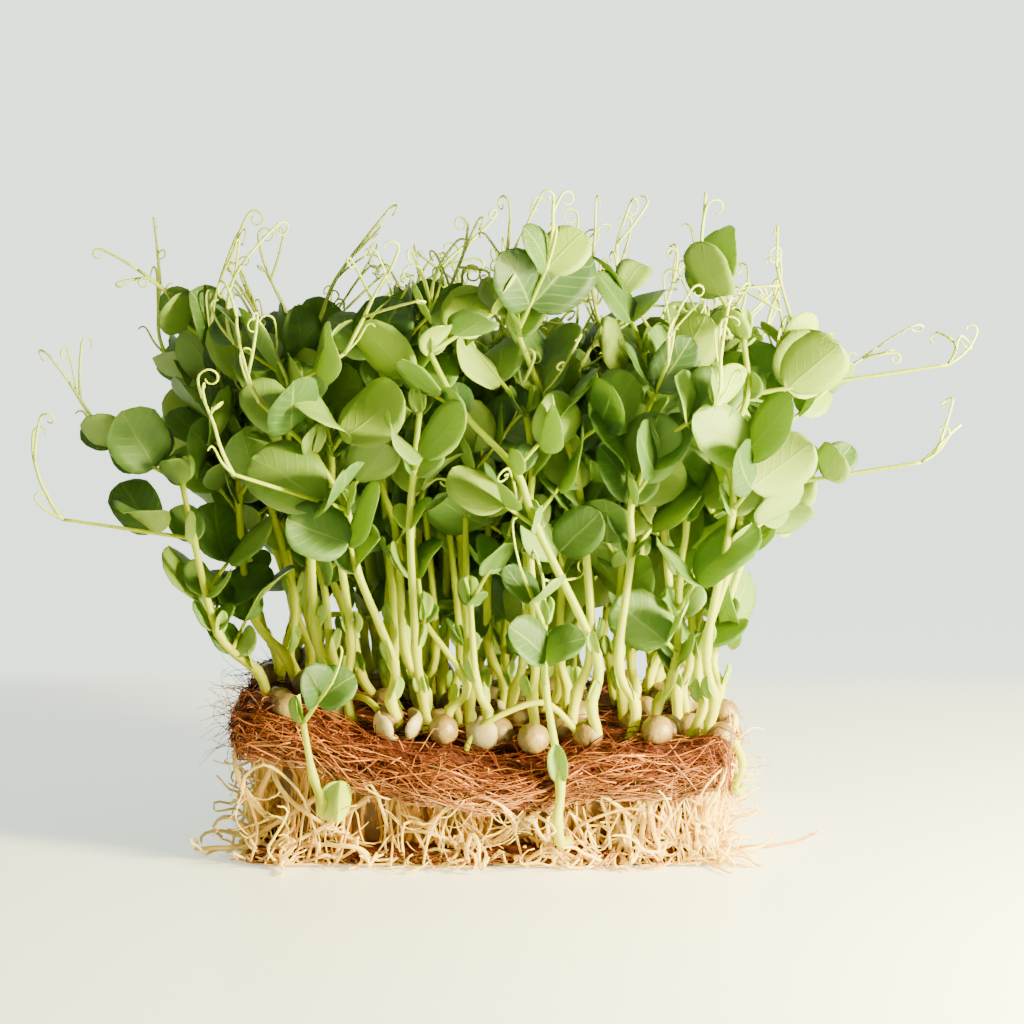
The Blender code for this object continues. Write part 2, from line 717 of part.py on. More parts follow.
def make_slab(name, finish, width, depth, height_of_top, height_of_bottom, bulge):
    """A closed slab between two heights, with its side bulged out, or drawn in where bulge is below 0."""
    shape = bmesh.new()
    layers = []
    for height in (height_of_bottom, height_of_top):
        layer = {}
        for i in range(MAT_COLUMNS + 1):
            for j in range(MAT_ROWS + 1):
                x, y = slab_outline(2 * i / MAT_COLUMNS - 1, 2 * j / MAT_ROWS - 1, width, depth)
                layer[i, j] = shape.verts.new(Vector((x, y, height(x, y))) * MM)
        layers.append(layer)
    bottom, top = layers
    for i in range(MAT_COLUMNS):
        for j in range(MAT_ROWS):
            corners = ((i, j), (i + 1, j), (i + 1, j + 1), (i, j + 1))
            shape.faces.new([top[c] for c in corners])
            shape.faces.new([bottom[c] for c in reversed(corners)])
    rim = [(i, 0) for i in range(MAT_COLUMNS)] + [(MAT_COLUMNS, j) for j in range(MAT_ROWS)]
    rim += [(i, MAT_ROWS) for i in range(MAT_COLUMNS, 0, -1)] + [(0, j) for j in range(MAT_ROWS, 0, -1)]
    middle = []
    for spot in rim:
        centre = (top[spot].co + bottom[spot].co) / 2
        outward = Vector((centre.x, centre.y, 0)).normalized() * bulge * MM
        middle.append(shape.verts.new(centre + outward))
    for k, spot in enumerate(rim):
        following = (k + 1) % len(rim)
        after = rim[following]
        shape.faces.new((bottom[spot], bottom[after], middle[following], middle[k]))
        shape.faces.new((middle[k], middle[following], top[after], top[spot]))
    place(name, shape, finish)


def make_mats(coir, roots):
    """The two coir mats and the root felt between them."""
    inset = 2 * LOWER_MAT_INSET
    make_slab(
        "lower_coir_mat", coir, MAT_WIDTH - inset, MAT_DEPTH - inset,
        lambda x, y: LOWER_MAT_THICKNESS, lambda x, y: 0.0, bulge=LOWER_MAT_BULGE,
    )
    inset = 2 * ROOT_INSET
    make_slab(
        "root_mass", roots, MAT_WIDTH - inset, MAT_DEPTH - inset,
        lambda x, y: mat_underside(x) - GAP, lambda x, y: LOWER_MAT_THICKNESS + GAP, bulge=-ROOT_WAIST,
    )
    make_slab(
        "coir_mat", coir, MAT_WIDTH, MAT_DEPTH, mat_top, lambda x, y: mat_underside(x), bulge=MAT_BULGE,
    )


def make_loose_peas(finish):
    """Peas that lie on the mat without a shoot."""
    for i, centre in enumerate(loose_pea_places()):
        shape = bmesh.new()
        add_ball(shape, centre, LOOSE_PEA_SEGMENTS)
        place(f"loose_pea_{i + 1}", shape, finish)


def make_stray_root(finish):
    """A root strand that trails out over the surface beside the block, in an arc."""
    shape = bmesh.new()
    start = Vector((*STRAY_ROOT_START, STRAY_ROOT_RADIUS + GAP))
    turns = [STRAY_ROOT_SWEEP * i / (STRAY_ROOT_POINTS - 1) for i in range(STRAY_ROOT_POINTS)]
    bend = STRAY_ROOT_BEND
    points = [start + Vector((bend * math.sin(a), bend * (1 - math.cos(a)), 0)) for a in turns]
    grow_branch(shape, None, points, (STRAY_ROOT_RADIUS, STRAY_ROOT_RADIUS * TENDRIL_TAPER), {})
    place("stray_root", shape, finish)


def main():
    clear_scene()
    coir = material("coir_fibre", COIR_BROWN, COIR_ROUGHNESS)
    roots = material("pea_roots", ROOT_CREAM, ROOT_ROUGHNESS)
    stems = material("pea_shoot", STEM_GREEN, STEM_ROUGHNESS)
    peas = material("soaked_pea", PEA_BEIGE, PEA_ROUGHNESS)
    make_mats(coir, roots)
    make_loose_peas(peas)
    make_stray_root(roots)
    neighbours = []
    for shoot in plan_shoots():
        make_clear_shoot(shoot, stems, neighbours)


main()
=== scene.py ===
"""Looks of the pea shoots: fine leaves, tendrils, peas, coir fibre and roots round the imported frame.

The shoots follow the same growth rules as the frame's, so each piece lies where its node does.
Lengths are millimetres while shapes are worked out, and metres in Blender.
"""

import math
from dataclasses import dataclass

import bpy
import numpy as np
from mathutils import Matrix, Vector


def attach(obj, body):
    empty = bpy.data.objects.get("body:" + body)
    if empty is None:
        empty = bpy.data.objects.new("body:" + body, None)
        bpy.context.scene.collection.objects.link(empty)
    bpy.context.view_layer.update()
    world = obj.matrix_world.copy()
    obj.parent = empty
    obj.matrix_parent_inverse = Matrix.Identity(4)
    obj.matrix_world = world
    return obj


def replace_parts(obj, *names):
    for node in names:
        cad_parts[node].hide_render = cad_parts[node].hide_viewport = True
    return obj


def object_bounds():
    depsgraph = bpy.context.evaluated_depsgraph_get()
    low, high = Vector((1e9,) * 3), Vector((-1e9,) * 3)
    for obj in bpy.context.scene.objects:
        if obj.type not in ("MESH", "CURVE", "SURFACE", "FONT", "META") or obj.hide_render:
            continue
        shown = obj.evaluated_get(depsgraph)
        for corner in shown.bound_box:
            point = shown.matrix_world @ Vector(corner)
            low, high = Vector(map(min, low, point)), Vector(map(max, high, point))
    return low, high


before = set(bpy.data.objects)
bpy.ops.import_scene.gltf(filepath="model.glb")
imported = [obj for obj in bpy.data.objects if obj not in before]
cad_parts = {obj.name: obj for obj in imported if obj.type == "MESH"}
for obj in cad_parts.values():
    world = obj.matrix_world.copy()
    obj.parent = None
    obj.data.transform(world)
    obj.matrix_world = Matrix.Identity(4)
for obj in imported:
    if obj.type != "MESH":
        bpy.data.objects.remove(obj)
cad_bounds = [list(corner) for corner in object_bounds()]

MM = 0.001
SEED = 11
UP = Vector((0.0, 0.0, 1.0))

# The block: both mats are rounded rectangles, and the root felt fills the space between them.
MAT_WIDTH = 130.0
MAT_DEPTH = 100.0
MAT_THICKNESS = 13.5
MAT_BULGE = 1.5
SLAB_ROUNDING = 0.09
LOWER_MAT_THICKNESS = 4.6
LOWER_MAT_INSET = 2.0
LOWER_MAT_BULGE = 0.6
ROOT_INSET = 2.5
ROOT_WAIST = 2.5
UNDERSIDE_HEIGHT = 18.5
LEFT_LIFT = 9.0
LIFT_START = -8.0
FOOT_LIFT = 3.0
PEA_LIFT = 0.9

# Unevenness as waves: size, waves along x, waves along y, phase. The top's are millimetres and
# radians per millimetre, and the outline's are shares of the slab's half width and depth.
TOP_WAVES = ((0.9, 0.11, 0.09, 1.3), (0.45, -0.07, 0.14, 0.0))
OUTLINE_WAVES = ((0.012, 7.0, 3.0, 0.0), (0.01, -4.0, 5.0, 1.0))

# Thickness of the parts of a shoot.
PEA_RADIUS = 4.3
PEA_REACH = 3.2
STEM_FOOT_RADIUS = 1.55
STEM_TIP_RADIUS = 0.8
STALK_RADIUS = 0.62
TENDRIL_RADIUS = 0.4

# Growth of a stem. It has a leaf every LEAF_SPACING down from its tip, and swings from side to
# side by ZIGZAG between them. STEM_REST is where it has points below its leaves.
CANOPY_HEIGHT = 94.0
SHOULDER_DROP = 12.0
HEIGHT_SPREAD = (0.78, 1.0)
OUTWARD_LEAN = 0.24
LEAN_CURVE = 1.4
LEAN_SPREAD = 5.0
ZIGZAG = 1.6
STEM_REST = (0.14, 0.38)
LEAF_SPACING = 15.0
STEM_PER_LEAF = 22.0
MOST_LEAVES = 4

# Growth of a leaf: a stalk, a pair of blades, and on the upper leaves a tendril beyond them.
# Ranges are random between their ends. Angles are degrees, and shares are of the leaf's size.
LEAF_SIZE = (15.0, 19.0)
STALK_RISE = (28.0, 62.0)
STALK_SHARE = (0.45, 0.75)
BLADE_SHARE = (0.95, 1.2)
BLADE_RATIO = (0.6, 0.82)
BLADE_SPREAD = (35.0, 70.0)
BLADE_LIFT = (-0.25, 0.5)
FACE_SCATTER = 0.45
FACE_UP = 0.6
FACE_OUT = 0.6
AZIMUTH_SCATTER = 0.4
TENDRIL_SHARE = (0.5, 0.8)
TENDRIL_RISE = 7.0
TENDRIL_TURNS = (-0.6, -0.3, 0.3, 0.6)
TENDRIL_KNEE = 0.4
TENDRIL_SWEEP = 0.15
TENDRIL_LIFT = (0.4, 1.0)
LONG_STALK_RISE = 0.3
HOOK_RADIUS = 2.2
HOOK_SPAN = 12.0
HOOK_CLOSING = 0.45
HOOK_POINTS_PER_TURN = 4

# Steps between points on smooth routes, and room kept between neighbours.
STEM_STEP = 19.0
SAMPLE_STEP = 3.0
STEM_ROOM = 4.0
LEAF_ROOM = 2.8
PEA_ROOM = 4.4
NEARBY = 8.0
PEA_SIDES = 8
SIDESTEPS = (0, 2, -2, 4, -4, 6, -6, 8, -8)
LEAF_TURNS = (0, 25, -25, 50, -50, 80, -80, 115, -115, 150, -150, 180)
BLADE_SAMPLES = ((0.12, 0.5), (0.3, 0.9), (0.5, 1.0), (0.7, 0.85), (0.88, 0.5), (1.0, 0.0))
BLADE_SPOTS = (-1.0, -0.5, 0.0, 0.5, 1.0)

# Front shoots, each with a habit of its own: name, foot across the mat from -1 at its left end to
# 1 at its right end, foot behind the front edge, stem height as a share of the canopy's, lean of
# the tip to the right, bow of the stem's middle to the right, and reach of its longest stalk.
# Those that cross others come first, because each newcomer keeps clear of the ones before it.
HABITS = (
    ("slanting_shoot", 0.45, 5, 1.05, -45, 5, 0),
    ("arched_shoot", 0.35, 14, 1.1, -15, 10, 0),
    ("split_pea_shoot", -0.35, 6, 0.75, -20, 0, 20),
    ("sprawling_shoot", -0.9, 20, 0.6, -20, -10, 15),
    ("left_bowed_shoot", -0.8, 34, 0.85, -5, -15, 0),
    ("left_upright_shoot", -0.65, 14, 0.9, -10, 0, 0),
    ("short_left_shoot", -0.6, 25, 0.5, -10, 0, 0),
    ("bud_shoot", -0.25, 24, 1.0, -10, -5, 0),
    ("low_sprout", -0.15, 8, 0.3, -5, 5, 0),
    ("forked_sprout", 0.0, 10, 0.35, -5, 0, 0),
    ("centre_shoot", 0.1, 26, 0.8, 0, 5, 0),
    ("hooked_shoot", 0.6, 7, 0.8, 5, -5, 0),
    ("leaning_shoot", 0.7, 18, 0.75, 5, 5, 0),
    ("tendril_shoot", 0.8, 28, 1.05, -10, 0, 0),
    ("right_upright_shoot", 0.9, 10, 1.1, 10, 0, 30),
    ("outer_right_shoot", 0.95, 34, 0.8, 15, 0, 30),
)

# Shoots that come out of the block's front side: name, place across, height of the foot, stem
# length as a share of the canopy's, and lean of the tip to the right.
SIDE_SHOOTS = (
    ("seedling", -0.65, 16, 0.25, -5),
    ("front_shoot", 0.3, 8, 0.6, -5),
)
SIDE_CLEARANCE = 4.5

# Shoots grown by rule behind the front ones, one in each cell of a plot (left, right, front, back).
# A filling is a plot, its columns and rows, each cell's margin, tries in a cell, and room kept for
# stems and for leaves.
PLOT = (-58.0, 58.0, -18.0, 40.0)
PLOT_FILLING = (PLOT, 7, 4, 0.15, 16, STEM_ROOM, LEAF_ROOM)
FEWEST_LEAVES = 2

# Peas without a shoot lie along the front edge, and a root strand trails out in an arc.
LOOSE_PEA_COUNT = 4
LOOSE_PEA_INSET = 5.0
LOOSE_PEA_SCATTER = 6.0
STRAY_ROOT_RADIUS = 0.45
STRAY_ROOT_START = (68.0, -30.0)
STRAY_ROOT_BEND = 24.0
STRAY_ROOT_SWEEP = math.radians(75)

GOLDEN_ANGLE = math.radians(137.5)

# Fine shapes of the shoots.
LOOKS_SEED = 23
STEM_SIDES = 9
STALK_SIDES = 6
TENDRIL_SIDES = 4
FINE_STEP = 2.5
FOOT_DEPTH = 6.0
FOOT_DIP = 1.5
FOOT_SWELL = 0.12
FOOT_SWELL_REACH = 7.0
NODE_SWELL = 0.3
STEM_SLIMNESS = 0.88
NODE_SWELL_REACH = 2.2
LEAF_THICKNESS = 0.3
FRONT_LEAF_GRID = (12, 6)
BACK_LEAF_GRID = (7, 4)
BACK_FROM = -6.0
HIDDEN_WIDTH = 52.0
# Share of a leaf's tone kept at a stem's foot: painted shade for the low leaves.
LOW_LEAF_SHADED_TONE = 0.4
LEAF_FOLD = (0.0, 0.24)
LEAF_ARCH = (-0.16, 0.1)
LEAF_RIPPLE = 0.018
LEAF_TEETH = 0.022
UNDERSIDE_SHARE = 0.36
LEAF_BROADNESS = 1.24
TIP_LIFT = 0.35
LIGHTWARD = np.array((0.15, -0.8, 0.1))
YOUNG_HEIGHT = 40.0
YOUNG_SHARE = 0.7
TIP_PLUME_SHARE = 0.2
PLUME_RADIUS = (0.6, 0.42)
PLUME_RISE = 0.8
SECOND_PAIR_SHARE = 0.8
STIPULE_SHARE = (0.45, 0.65)
BRACT_LENGTH = 7.0
FRONT_BRACT_LENGTH = 11.0
BUD_LENGTH = 7.5
CURL_TURNS = (0.5, 1.3)
CURL_LENGTH = (9.0, 20.0)
CURL_RADIUS = (1.5, 3.4)
CURL_STEPS = (4, 14)
HOOK_STEPS = 4
PLUME_LENGTH = (12.0, 30.0)
PLUME_BRANCHES = (1, 3)
PLUME_TURN = 0.7
SECOND_PAIR_ODDS = 0.5
TENDRIL_TRIES = 8

# Nothing runs further than this past the frame's own box.
OVERHANG = np.array((1.0, 6.0, 8.0))
LOWEST_CORNER = np.array(cad_bounds[0]) / MM - OVERHANG
HIGHEST_CORNER = np.array(cad_bounds[1]) / MM + OVERHANG

# Further shoots between the frame's own, in cells of a second plot. None of them is a node.
EXTRA_PLOT = (-58.0, 58.0, -36.0, 40.0)
EXTRA_GROUPS = 4
EXTRA_LEAF_ROOM = 0.9
EXTRA_FILLING = (EXTRA_PLOT, 8, 6, 0, 12, 2.8, EXTRA_LEAF_ROOM)
EXTRA_LEAVES = 3
EXTRA_LEAF_REACH = (0.22, 1.0)

# Room kept before the front shoots' stems, so that they stay in view.
FRONT_ROW = -34.0
CLEAR_STEPS = (-5.0, -10.0, -15.0, -20.0)

# Low young shoots among the others' stems.
LOW_SHOOTS = 110
LOW_FRONT = -18.0
LOW_STEM_ROOM = 1.7
LOW_HEIGHT = (0.3, 0.75)

# Peas sit a little sunk among the fibres, and one shoot in a few has its pea's skin split round its foot.
PEA_SINK = 2.6
PEA_SINKS = (2.2, 5.2)
BURIED_PEA = (0.58, 0.55, -2.5)
SPLIT_SKIN_EVERY = 7
SPLIT_SKIN_FIRST = 2
SHELL_SHARES = (1.08, 0.98)
PEA_ROWS = 10
PEA_COLUMNS = 16

# Coir: how many fibres, their length, how far from level they run, how much they bend, their
# radius, and how far they stand off the mat.
STRANDS = (900, (24.0, 70.0), 0.15, 0.5, (0.1, 0.26), (0.4, 2.8))
TANGLE = (850, (7.0, 26.0), 0.7, 2.0, (0.07, 0.16), (-0.4, 1.8))
LOWER_STRANDS = (420, (14.0, 40.0), 0.3, 0.8, (0.09, 0.18), (-0.4, 1.8))
FIBRE_STEPS = 7
PAINTED_SHADE_DEPTH = 2.4
DROOP = 4.0
DROOP_FROM = 30.0
DROOP_WAVES = ((0.9, 0.16, 0.0, 0.5), (0.5, 0.37, 0.0, 2.0))
LUMPS = ((0.8, 5.3, 0.0, 0.4), (0.5, 13.1, 2.0, 2.0), (0.3, 29.0, 3.0, 1.0))
TOP_FIBRES = 800
TOP_FIBRE_LENGTH = (12.0, 40.0)
TOP_FIBRE_LIFT = (0.3, 6.0)
FRONT_FIBRE_SHARE = 0.35
EDGE_STANDOFF = 1.6
WOOL_FIBRES = 560
WOOL_LENGTH = 3.4
LOOSE_HAIRS = 300
LOOSE_HAIR_LENGTH = (3.0, 9.5)

# Roots, in groups that leave the mat close together. Places along a slab's rim run from 0 to 4:
# front from left to right, then the right end, the back from right to left, and the left end.
FLOOR_GAP = 0.85
ROOT_TUFTS = 22
TUFT_ROOTS = (7, 15)
TUFT_WIDTH = 0.012
TUFT_SPREAD = 0.075
FINE_ROOT_RADIUS = (0.22, 0.5)
THICK_ROOTS = 50
THICK_ROOT_RADIUS = (0.6, 1.1)
LATERALS = (4, 9)
LATERAL_LENGTH = (7.0, 18.0)
LATERAL_RADIUS = (0.14, 0.3)
ROOT_LOOPS = 16
END_LOOPS = 12
ROOT_STARS = 24
STAR_ROOTS = (8, 15)
STAR_REACH = (9.0, 26.0)
STAR_RADIUS = (0.35, 0.8)
STAR_TURN = 3.6
CURLY_TANGLES = 26
CURLY_COUNT = (4, 9)
CURLY_LENGTH = (14.0, 34.0)
CURLY_TURN = 7.0
CURLY_RADIUS = (0.45, 0.85)
ROOT_LIMITS = np.array((MAT_WIDTH / 2 + 12.0, MAT_DEPTH / 2 + 9.0))
INNER_ROOTS = 230
FLOOR_ROOTS = 70
CREEPING_STEMS = 7
DROOPING_AT = 1.06
CREEPING_STEM_RADIUS = (0.8, 1.2)
FELT_ROOTS = 150
FELT_STRETCH = (0.72, 1.9)
FELT_INSET = 9.0
FELT_SHADE = 0.9

# Outline and surface of a blade: its outline's shift towards the base, roundness and width at the base,
# twice the place where its teeth start and how fast they grow to the edge, how its fold rises there, its
# ripples along and across, and its edge's thickness as a share of the middle's.
LEAF_OUTLINE = (0.92, 2.4, 0.86)
TEETH_FROM = 0.6
TEETH_CURVE = 3
FOLD_CURVE = 1.3
RIPPLE_WAVES = (9.0, 2.5)
EDGE_SHARE = 0.35

# Tendrils: share of a curl that runs straight on, how far its winding closes, its bow and its drift
# sideways. A plume forks at shares of its length, and its branches are shorter the later they leave.
CURL_STRAIGHT = (0.3, 0.5)
CURL_CLOSING = 0.6
CURL_BOW = 0.12
CURL_DRIFT = 0.45
CURL_TIP_RADIUS = 0.2
PLUME_STEP = 1.8
FEWEST_PLUME_STEPS = 5
FORK_PLACES = (0.3, 0.95)
FORK_SCATTER = 0.45
TIP_SCATTER = 0.1
BRANCH_LENGTH = (1.2, 0.5)
TENDRIL_RUN = 0.3

# Stipules stand aside, outwards and up from a stem and face up. The other blades beside a stem are
# scales on its bare part, buds at its tip, and a second pair further out on a long stalk.
STIPULE_ASIDE = 0.75
STIPULE_OUT = 0.35
STIPULE_RISE = (0.35, 0.8)
STIPULE_FACE = (0.8, 0.2)
STIPULE_TURN = (0.0, 0.5)
STIPULE_DROP = 0.8
STIPULE_RATIO = (0.6, 0.75)
SECOND_PAIR_PLACE = (0.7, 0.9)
SCALE_LEAN = 0.45
BUD_LEAN = 0.35
TIP_BUDS = 3
SCALE_RATIO = 0.42
SCALE_TONE = (0.8, 1.0)
SCALE_FOLD = 0.7

# A stem's foot among the roots of the block's side, or sunk in the mat beside its pea.
SIDE_FOOT = ((2.0, 6.0, -1.0), (0.5, 3.0, -1.5))
FOOT_SINK = 2.5
STALK_TAPER = (1.1, 0.75)
STALK_RUN = 0.8
YOUNG_RATIO = 0.8
SIDE_LEAF_TONE = (0.0, 0.3)
SIDE_LEAF_FOLD = 0.15
PLUME_SCATTER = 0.25
SIDE_BUD = ((4.0, 0.5, -3.0), (1.0, 0.0, 11.0))
SIDE_BUD_RATIO = 0.55
SIDE_BUD_FOLD = -0.9
LOW_LEAN_SHARE = 0.3

# A pea's skin: how flat it is, soft creases (depth and waves across x and y), sharp creases (depth,
# waves up z and across x, and sharpness), and the split skins' tilt, rim, hole and distance apart.
PHASES = 6
PEA_SQUASH = (0.9, 1.04)
SOFT_CREASE = (0.035, 5, 6)
SHARP_CREASE = (0.05, 4, 5, 6)
SKIN_GRID = (5, 14)
SKIN_TILT = (0.2, 0.7)
SKIN_SIDE = (0.1, 0.2, 1.0)
SKIN_RIM = 1.45
SKIN_RAGS = (0.22, 3, 0.06)
SKIN_HOLE = 0.12
SKIN_APART = 0.45
SKIN_DROP = 0.5

# Fibres: how much they snake and lift along their way, and the shade painted into them where they lie deep.
SNAKE = (0.3, 6)
BREATHING = (0.6, 0.4, 5)
DEEPEST = 0.4
FIBRE_TONE = (0.15, 1.0)
FIBRE_SIDES = 3
DROOP_BASE = 0.6
CORNER_POWER = 5
NARROWEST = 0.5
TOP_CLEARANCE = 0.2
FRONT_FIBRES = (-1.05, -0.8)
LEVEL_SHARE = 0.5
LEVEL_SCATTER = 0.4
TOP_FIBRE_TURN = 1.2
TOP_FIBRE_THICKNESS = 1.4
TOP_FIBRE_TONE = 1.5
WOOL_SPREAD = (0.17, 0.04)
WOOL_STANDOFF = 0.5
WOOL_TURN = 3.0
WOOL_STEPS = 4
WOOL_RADIUS = 0.1
LEFT_END = 3
HAIR_STRETCH = (-0.1, 1.1)
HAIR_SHARES = (0.1, 1.0)
LEFT_HAIR_LENGTH = 1.7
HAIR_SCATTER = 0.5
HAIR_TURN = 1.6
HAIR_STEPS = 6
HAIR_RADIUS = 0.12
HAIR_TONE = (0.0, 0.7)
BODY_GRID = (44, 34, 5)
BODY_INSET = 1.5
BODY_ROUGHNESS = (0.3, 0.25)
# The bodies' dark tone is painted shade for the depths between the fibres.
BODY_SHADED_TONE = 0.1

# Places of roots as rows. A hanging root: shares of its drift, of the felt's height, how far out, and
# shares of its distance inwards and of its foot's. A thick one: share of its drift, height, how far
# out. A loop: part of its width, share of its top's place, of its peak, height, share out, how far out.
HANGING_PLACES = (
    (0.0, 1.05, 0.0, -1.0, 0.0),
    (0.2, 0.7, 1.0, -0.7, 0.0),
    (0.6, 0.32, 1.5, -0.4, 0.4),
    (1.0, 0.03, 0.0, 0.0, 1.0),
)
HANGING_INWARDS = (-0.5, 7.0)
HANGING_FOOT = (-1.5, 5.5)
HANGING_END = (0.04, 0.02, -1.0, 2.5)
THICK_PLACES = ((0.0, 1.02, -3.0), (0.3, 0.6, 0.0), (0.8, 0.2, 1.0), (1.3, 0.04, 2.0))
THICK_DRIFT = 0.2
THICK_OUT = (-3.0, 2.0)
THICK_TONE = (0.1, 0.8)
LOOP_PLACES = (
    (0.0, 0, 0.0, 0.35, 0.0, -2.0),
    (0.1, 0, 0.75, 0.0, 1.0, 0.0),
    (0.0, 1, 1.0, 0.0, 1.0, 0.0),
    (0.85, 0, 0.8, 0.0, 1.0, 0.0),
    (1.0, 0, 0.0, 0.35, 0.7, 0.0),
    (1.05, 0, 0.0, 0.04, 0.8, 0.0),
)
LOOP_WIDTH = (0.08, 0.3)
LOOP_OUT = (4.2, 6.4)
LOOP_TOP = (0.35, 0.6)
LOOP_TONE = (0.4, 0.9)
LOOP_RADIUS = (0.45, 0.8)
LOOP_PEAKS = (0.8, 1.25)
END_PEAKS = (1.1, 2.0)

# Other roots: step between their points, sway, and ranges of height, way, shade and radius.
ROOT_STEP = 3.0
ROOT_SWAY = 0.9
ROOT_SIDES = 4
FELT_SIDES = 5
LOOP_SIDES = 6
THICK_ROOT_SIDES = 7
STAR_HEIGHT = (0.15, 0.5)
STAR_OUT = (-1.0, 1.5)
STAR_TONE = (0.5, 1.0)
STAR_WAY = (0.1, 0.8)
STAR_SCATTER = 0.7
STAR_FALL = (0, 0, -0.25)
STAR_STEPS = 10
STAR_END = 0.4
CURLY_SCATTER = (0.03, 0.12)
CURLY_WAY = (0.2, 0.8)
CURLY_ASIDE = (0.2, 1.0)
CURLY_RISE = (0, 0, 0.25)
CURLY_STEPS = 14
CURLY_FLATNESS = 0.8
CURLY_END = 0.45
CURLY_TONE = (0.6, 1.0)
INNER_INWARDS = (3.0, 7.5)
INNER_SCATTER = 0.02
INNER_SHARES = (1.03, 0.7, 0.35, 0.03)
INNER_SWAY = 1.0
INNER_SHADED_TONE = (0.0, 0.3)
INNER_THICKNESS = 1.4
LATERAL_SCATTER = 0.6
LATERAL_FALL = (0, -0.1, -0.8)
LATERAL_TURN = 2.0
LATERAL_STEPS = 8
LATERAL_PALER = 0.25
LOOP_SWAY = 0.4
FLOOR_LENGTH = (0.06, 0.3)
FLOOR_COUNT = (5, 9)
FLOOR_HEIGHT = 0.17
FLOOR_OUT = (-1, 6)
FLOOR_SWAY = 1.5
FLOOR_TONE = (0.3, 1.0)
FELT_HEIGHTS = (0.35, 0.4, 1.15)
FELT_POINTS = 6
FELT_DRIFT = 0.02
FELT_SCATTER = 0.015
FELT_OUT = (-1.5, 3.5)
FELT_SWAY = 0.6
FELT_RADIUS = (0.3, 0.65)
FELT_SUNLIT_TONE = (0.7, 1.0)
TUFT_TONE = (0.25, 0.95)
TONE_SCATTER = 0.15

# Stems that creep along the mat's edge (rows of inwards, along, up and scatter up), one that droops
# over its corner (share of the mat's height, how far out), and the stray root's waves and thickness.
CREEPING_FROM = (0.85, -7.0)
CREEPING_PLACES = (
    (0, 0, 0, 0), (1, 2, 6, 0), (4, 10, 12, 2), (10, 20, 11, 2), (14, 26, 5, 0), (15, 28, -2, 0),
)
CREEPING_SIDES = 8
CREEPING_TONE = 0.1
CREEPING_END = 0.8
CREEPING_RUN = 0.08
DROOPING_PLACES = (
    (0.9, -6.0), (1.15, -2.0), (1.05, 3.0), (0.5, 4.5), (0.0, 4.0), (-0.25, 4.5), (-0.05, 6.0),
)
DROOPING_STEP = 0.02
DROOPING_RADIUS = 1.5
DROOPING_RUN = 0.3
DROOPING_TONE = 0.2
DROOPING_END = 0.6
STRAY_ROOT_POINTS = 30
STRAY_ROOT_WAVE = (0.5, 14)
STRAY_ROOT_HEIGHT = 0.6

# Small helps to the shapes: a way that no strand runs along, how much of its bend a wandering path
# keeps at each step, and the least length that is divided by.
ODD_WAY = (0.3, 0.2, 0.93)
BEND_KEPT = 0.7
TINY = 1e-9

# Colours, as linear red, green and blue.
LEAF_DEEP = (0.014, 0.05, 0.012)
LEAF_MIDDLE = (0.075, 0.17, 0.026)
LEAF_FRESH = (0.3, 0.46, 0.025)
LEAF_UNDER = (0.24, 0.34, 0.05)
LEAF_BLOOM = (0.18, 0.27, 0.07)
LEAF_VEIN = (0.34, 0.47, 0.08)
LEAF_GLOW = (0.45, 0.64, 0.005)
LEAF_GLOW_VEIN = (0.2, 0.38, 0.01)
STEM_FOOT = (0.66, 0.66, 0.02)
STEM_MIDDLE = (0.54, 0.62, 0.002)
STEM_TIP = (0.4, 0.52, 0.006)
STEM_STREAK = (0.2, 0.29, 0.008)
TENDRIL_GREEN = (0.62, 0.76, 0.13)
COIR_DARK = (0.02, 0.0035, 0.0015)
COIR_RED = (0.22, 0.045, 0.01)
COIR_LIGHT = (0.72, 0.25, 0.05)
COIR_WOOL = (0.78, 0.46, 0.2)
ROOT_TAN = (0.7, 0.37, 0.045)
ROOT_CREAM = (1.0, 0.72, 0.16)
ROOT_PALE = (1.0, 0.88, 0.32)
PEA_SKIN = (0.13, 0.075, 0.018)
PEA_PALE = (0.22, 0.155, 0.045)
PEA_BROWN = (0.08, 0.026, 0.008)
SHELL_WHITE = (0.62, 0.52, 0.26)
FLOOR_WHITE = (0.9, 0.92, 0.88)
WALL_GREY = (0.08, 0.09, 0.08)

# The floor turns to the wall's grey some way behind the block, as a sill that meets a wall does. Metres.
SILL_DEPTH = 0.2
SILL_BLUR = 0.05
FLOOR_REACH = 3.0
WALL_DISTANCE = 2.0
WALL_REACH = 1.2
FLOOR_ROUGHNESS = 0.3
WALL_ROUGHNESS = 0.9

# Lights: name, place, size, power in watts, colour.
LIGHTS = (
    ("low_sun", (0.42, -0.26, 0.17), 0.1, 29.0, (1.0, 0.9, 0.42)),
    ("low_glow", (0.3, -0.2, 0.04), 0.08, 5.0, (1.0, 0.86, 0.36)),
    ("soft_front", (-0.7, -1.2, 0.9), 1.3, 6.5, (1.0, 1.0, 0.88)),
    ("soft_top", (0.2, 0.5, 1.3), 1.2, 7.0, (1.0, 0.97, 0.84)),
)
ROOM_COLOUR = (0.97, 0.98, 0.93, 1.0)
WALL_LIGHT = (0.9, 1.0, 0.87, 1.0)
WALL_BRIGHTNESS = 2.3
FLOOR_GLOW = 0.58
ROOM_BRIGHTNESS = 0.13

# The camera looks at the middle of the shoots from a little above them.
CAMERA_LENS = 82.3
CAMERA_DISTANCE = 0.65
CAMERA_ELEVATION = math.radians(6)
CAMERA_TARGET = Vector((0.007, 0.0, 0.088))


@dataclass
class Blade:
    """A leaf blade: a pointed oval plate from base to tip."""
    base: Vector
    tip: Vector
    ratio: float
    normal: Vector


@dataclass
class Leaf:
    """A stalk from a stem point, the blades at its second point, and the tendrils at its end."""
    stalk: list
    blades: list
    tendrils: list


@dataclass
class Shoot:
    """A stem's route from its foot, its leaves, and the middle of its pea if it has one."""
    name: str
    stem: list
    leaves: list
    pea: Vector = None


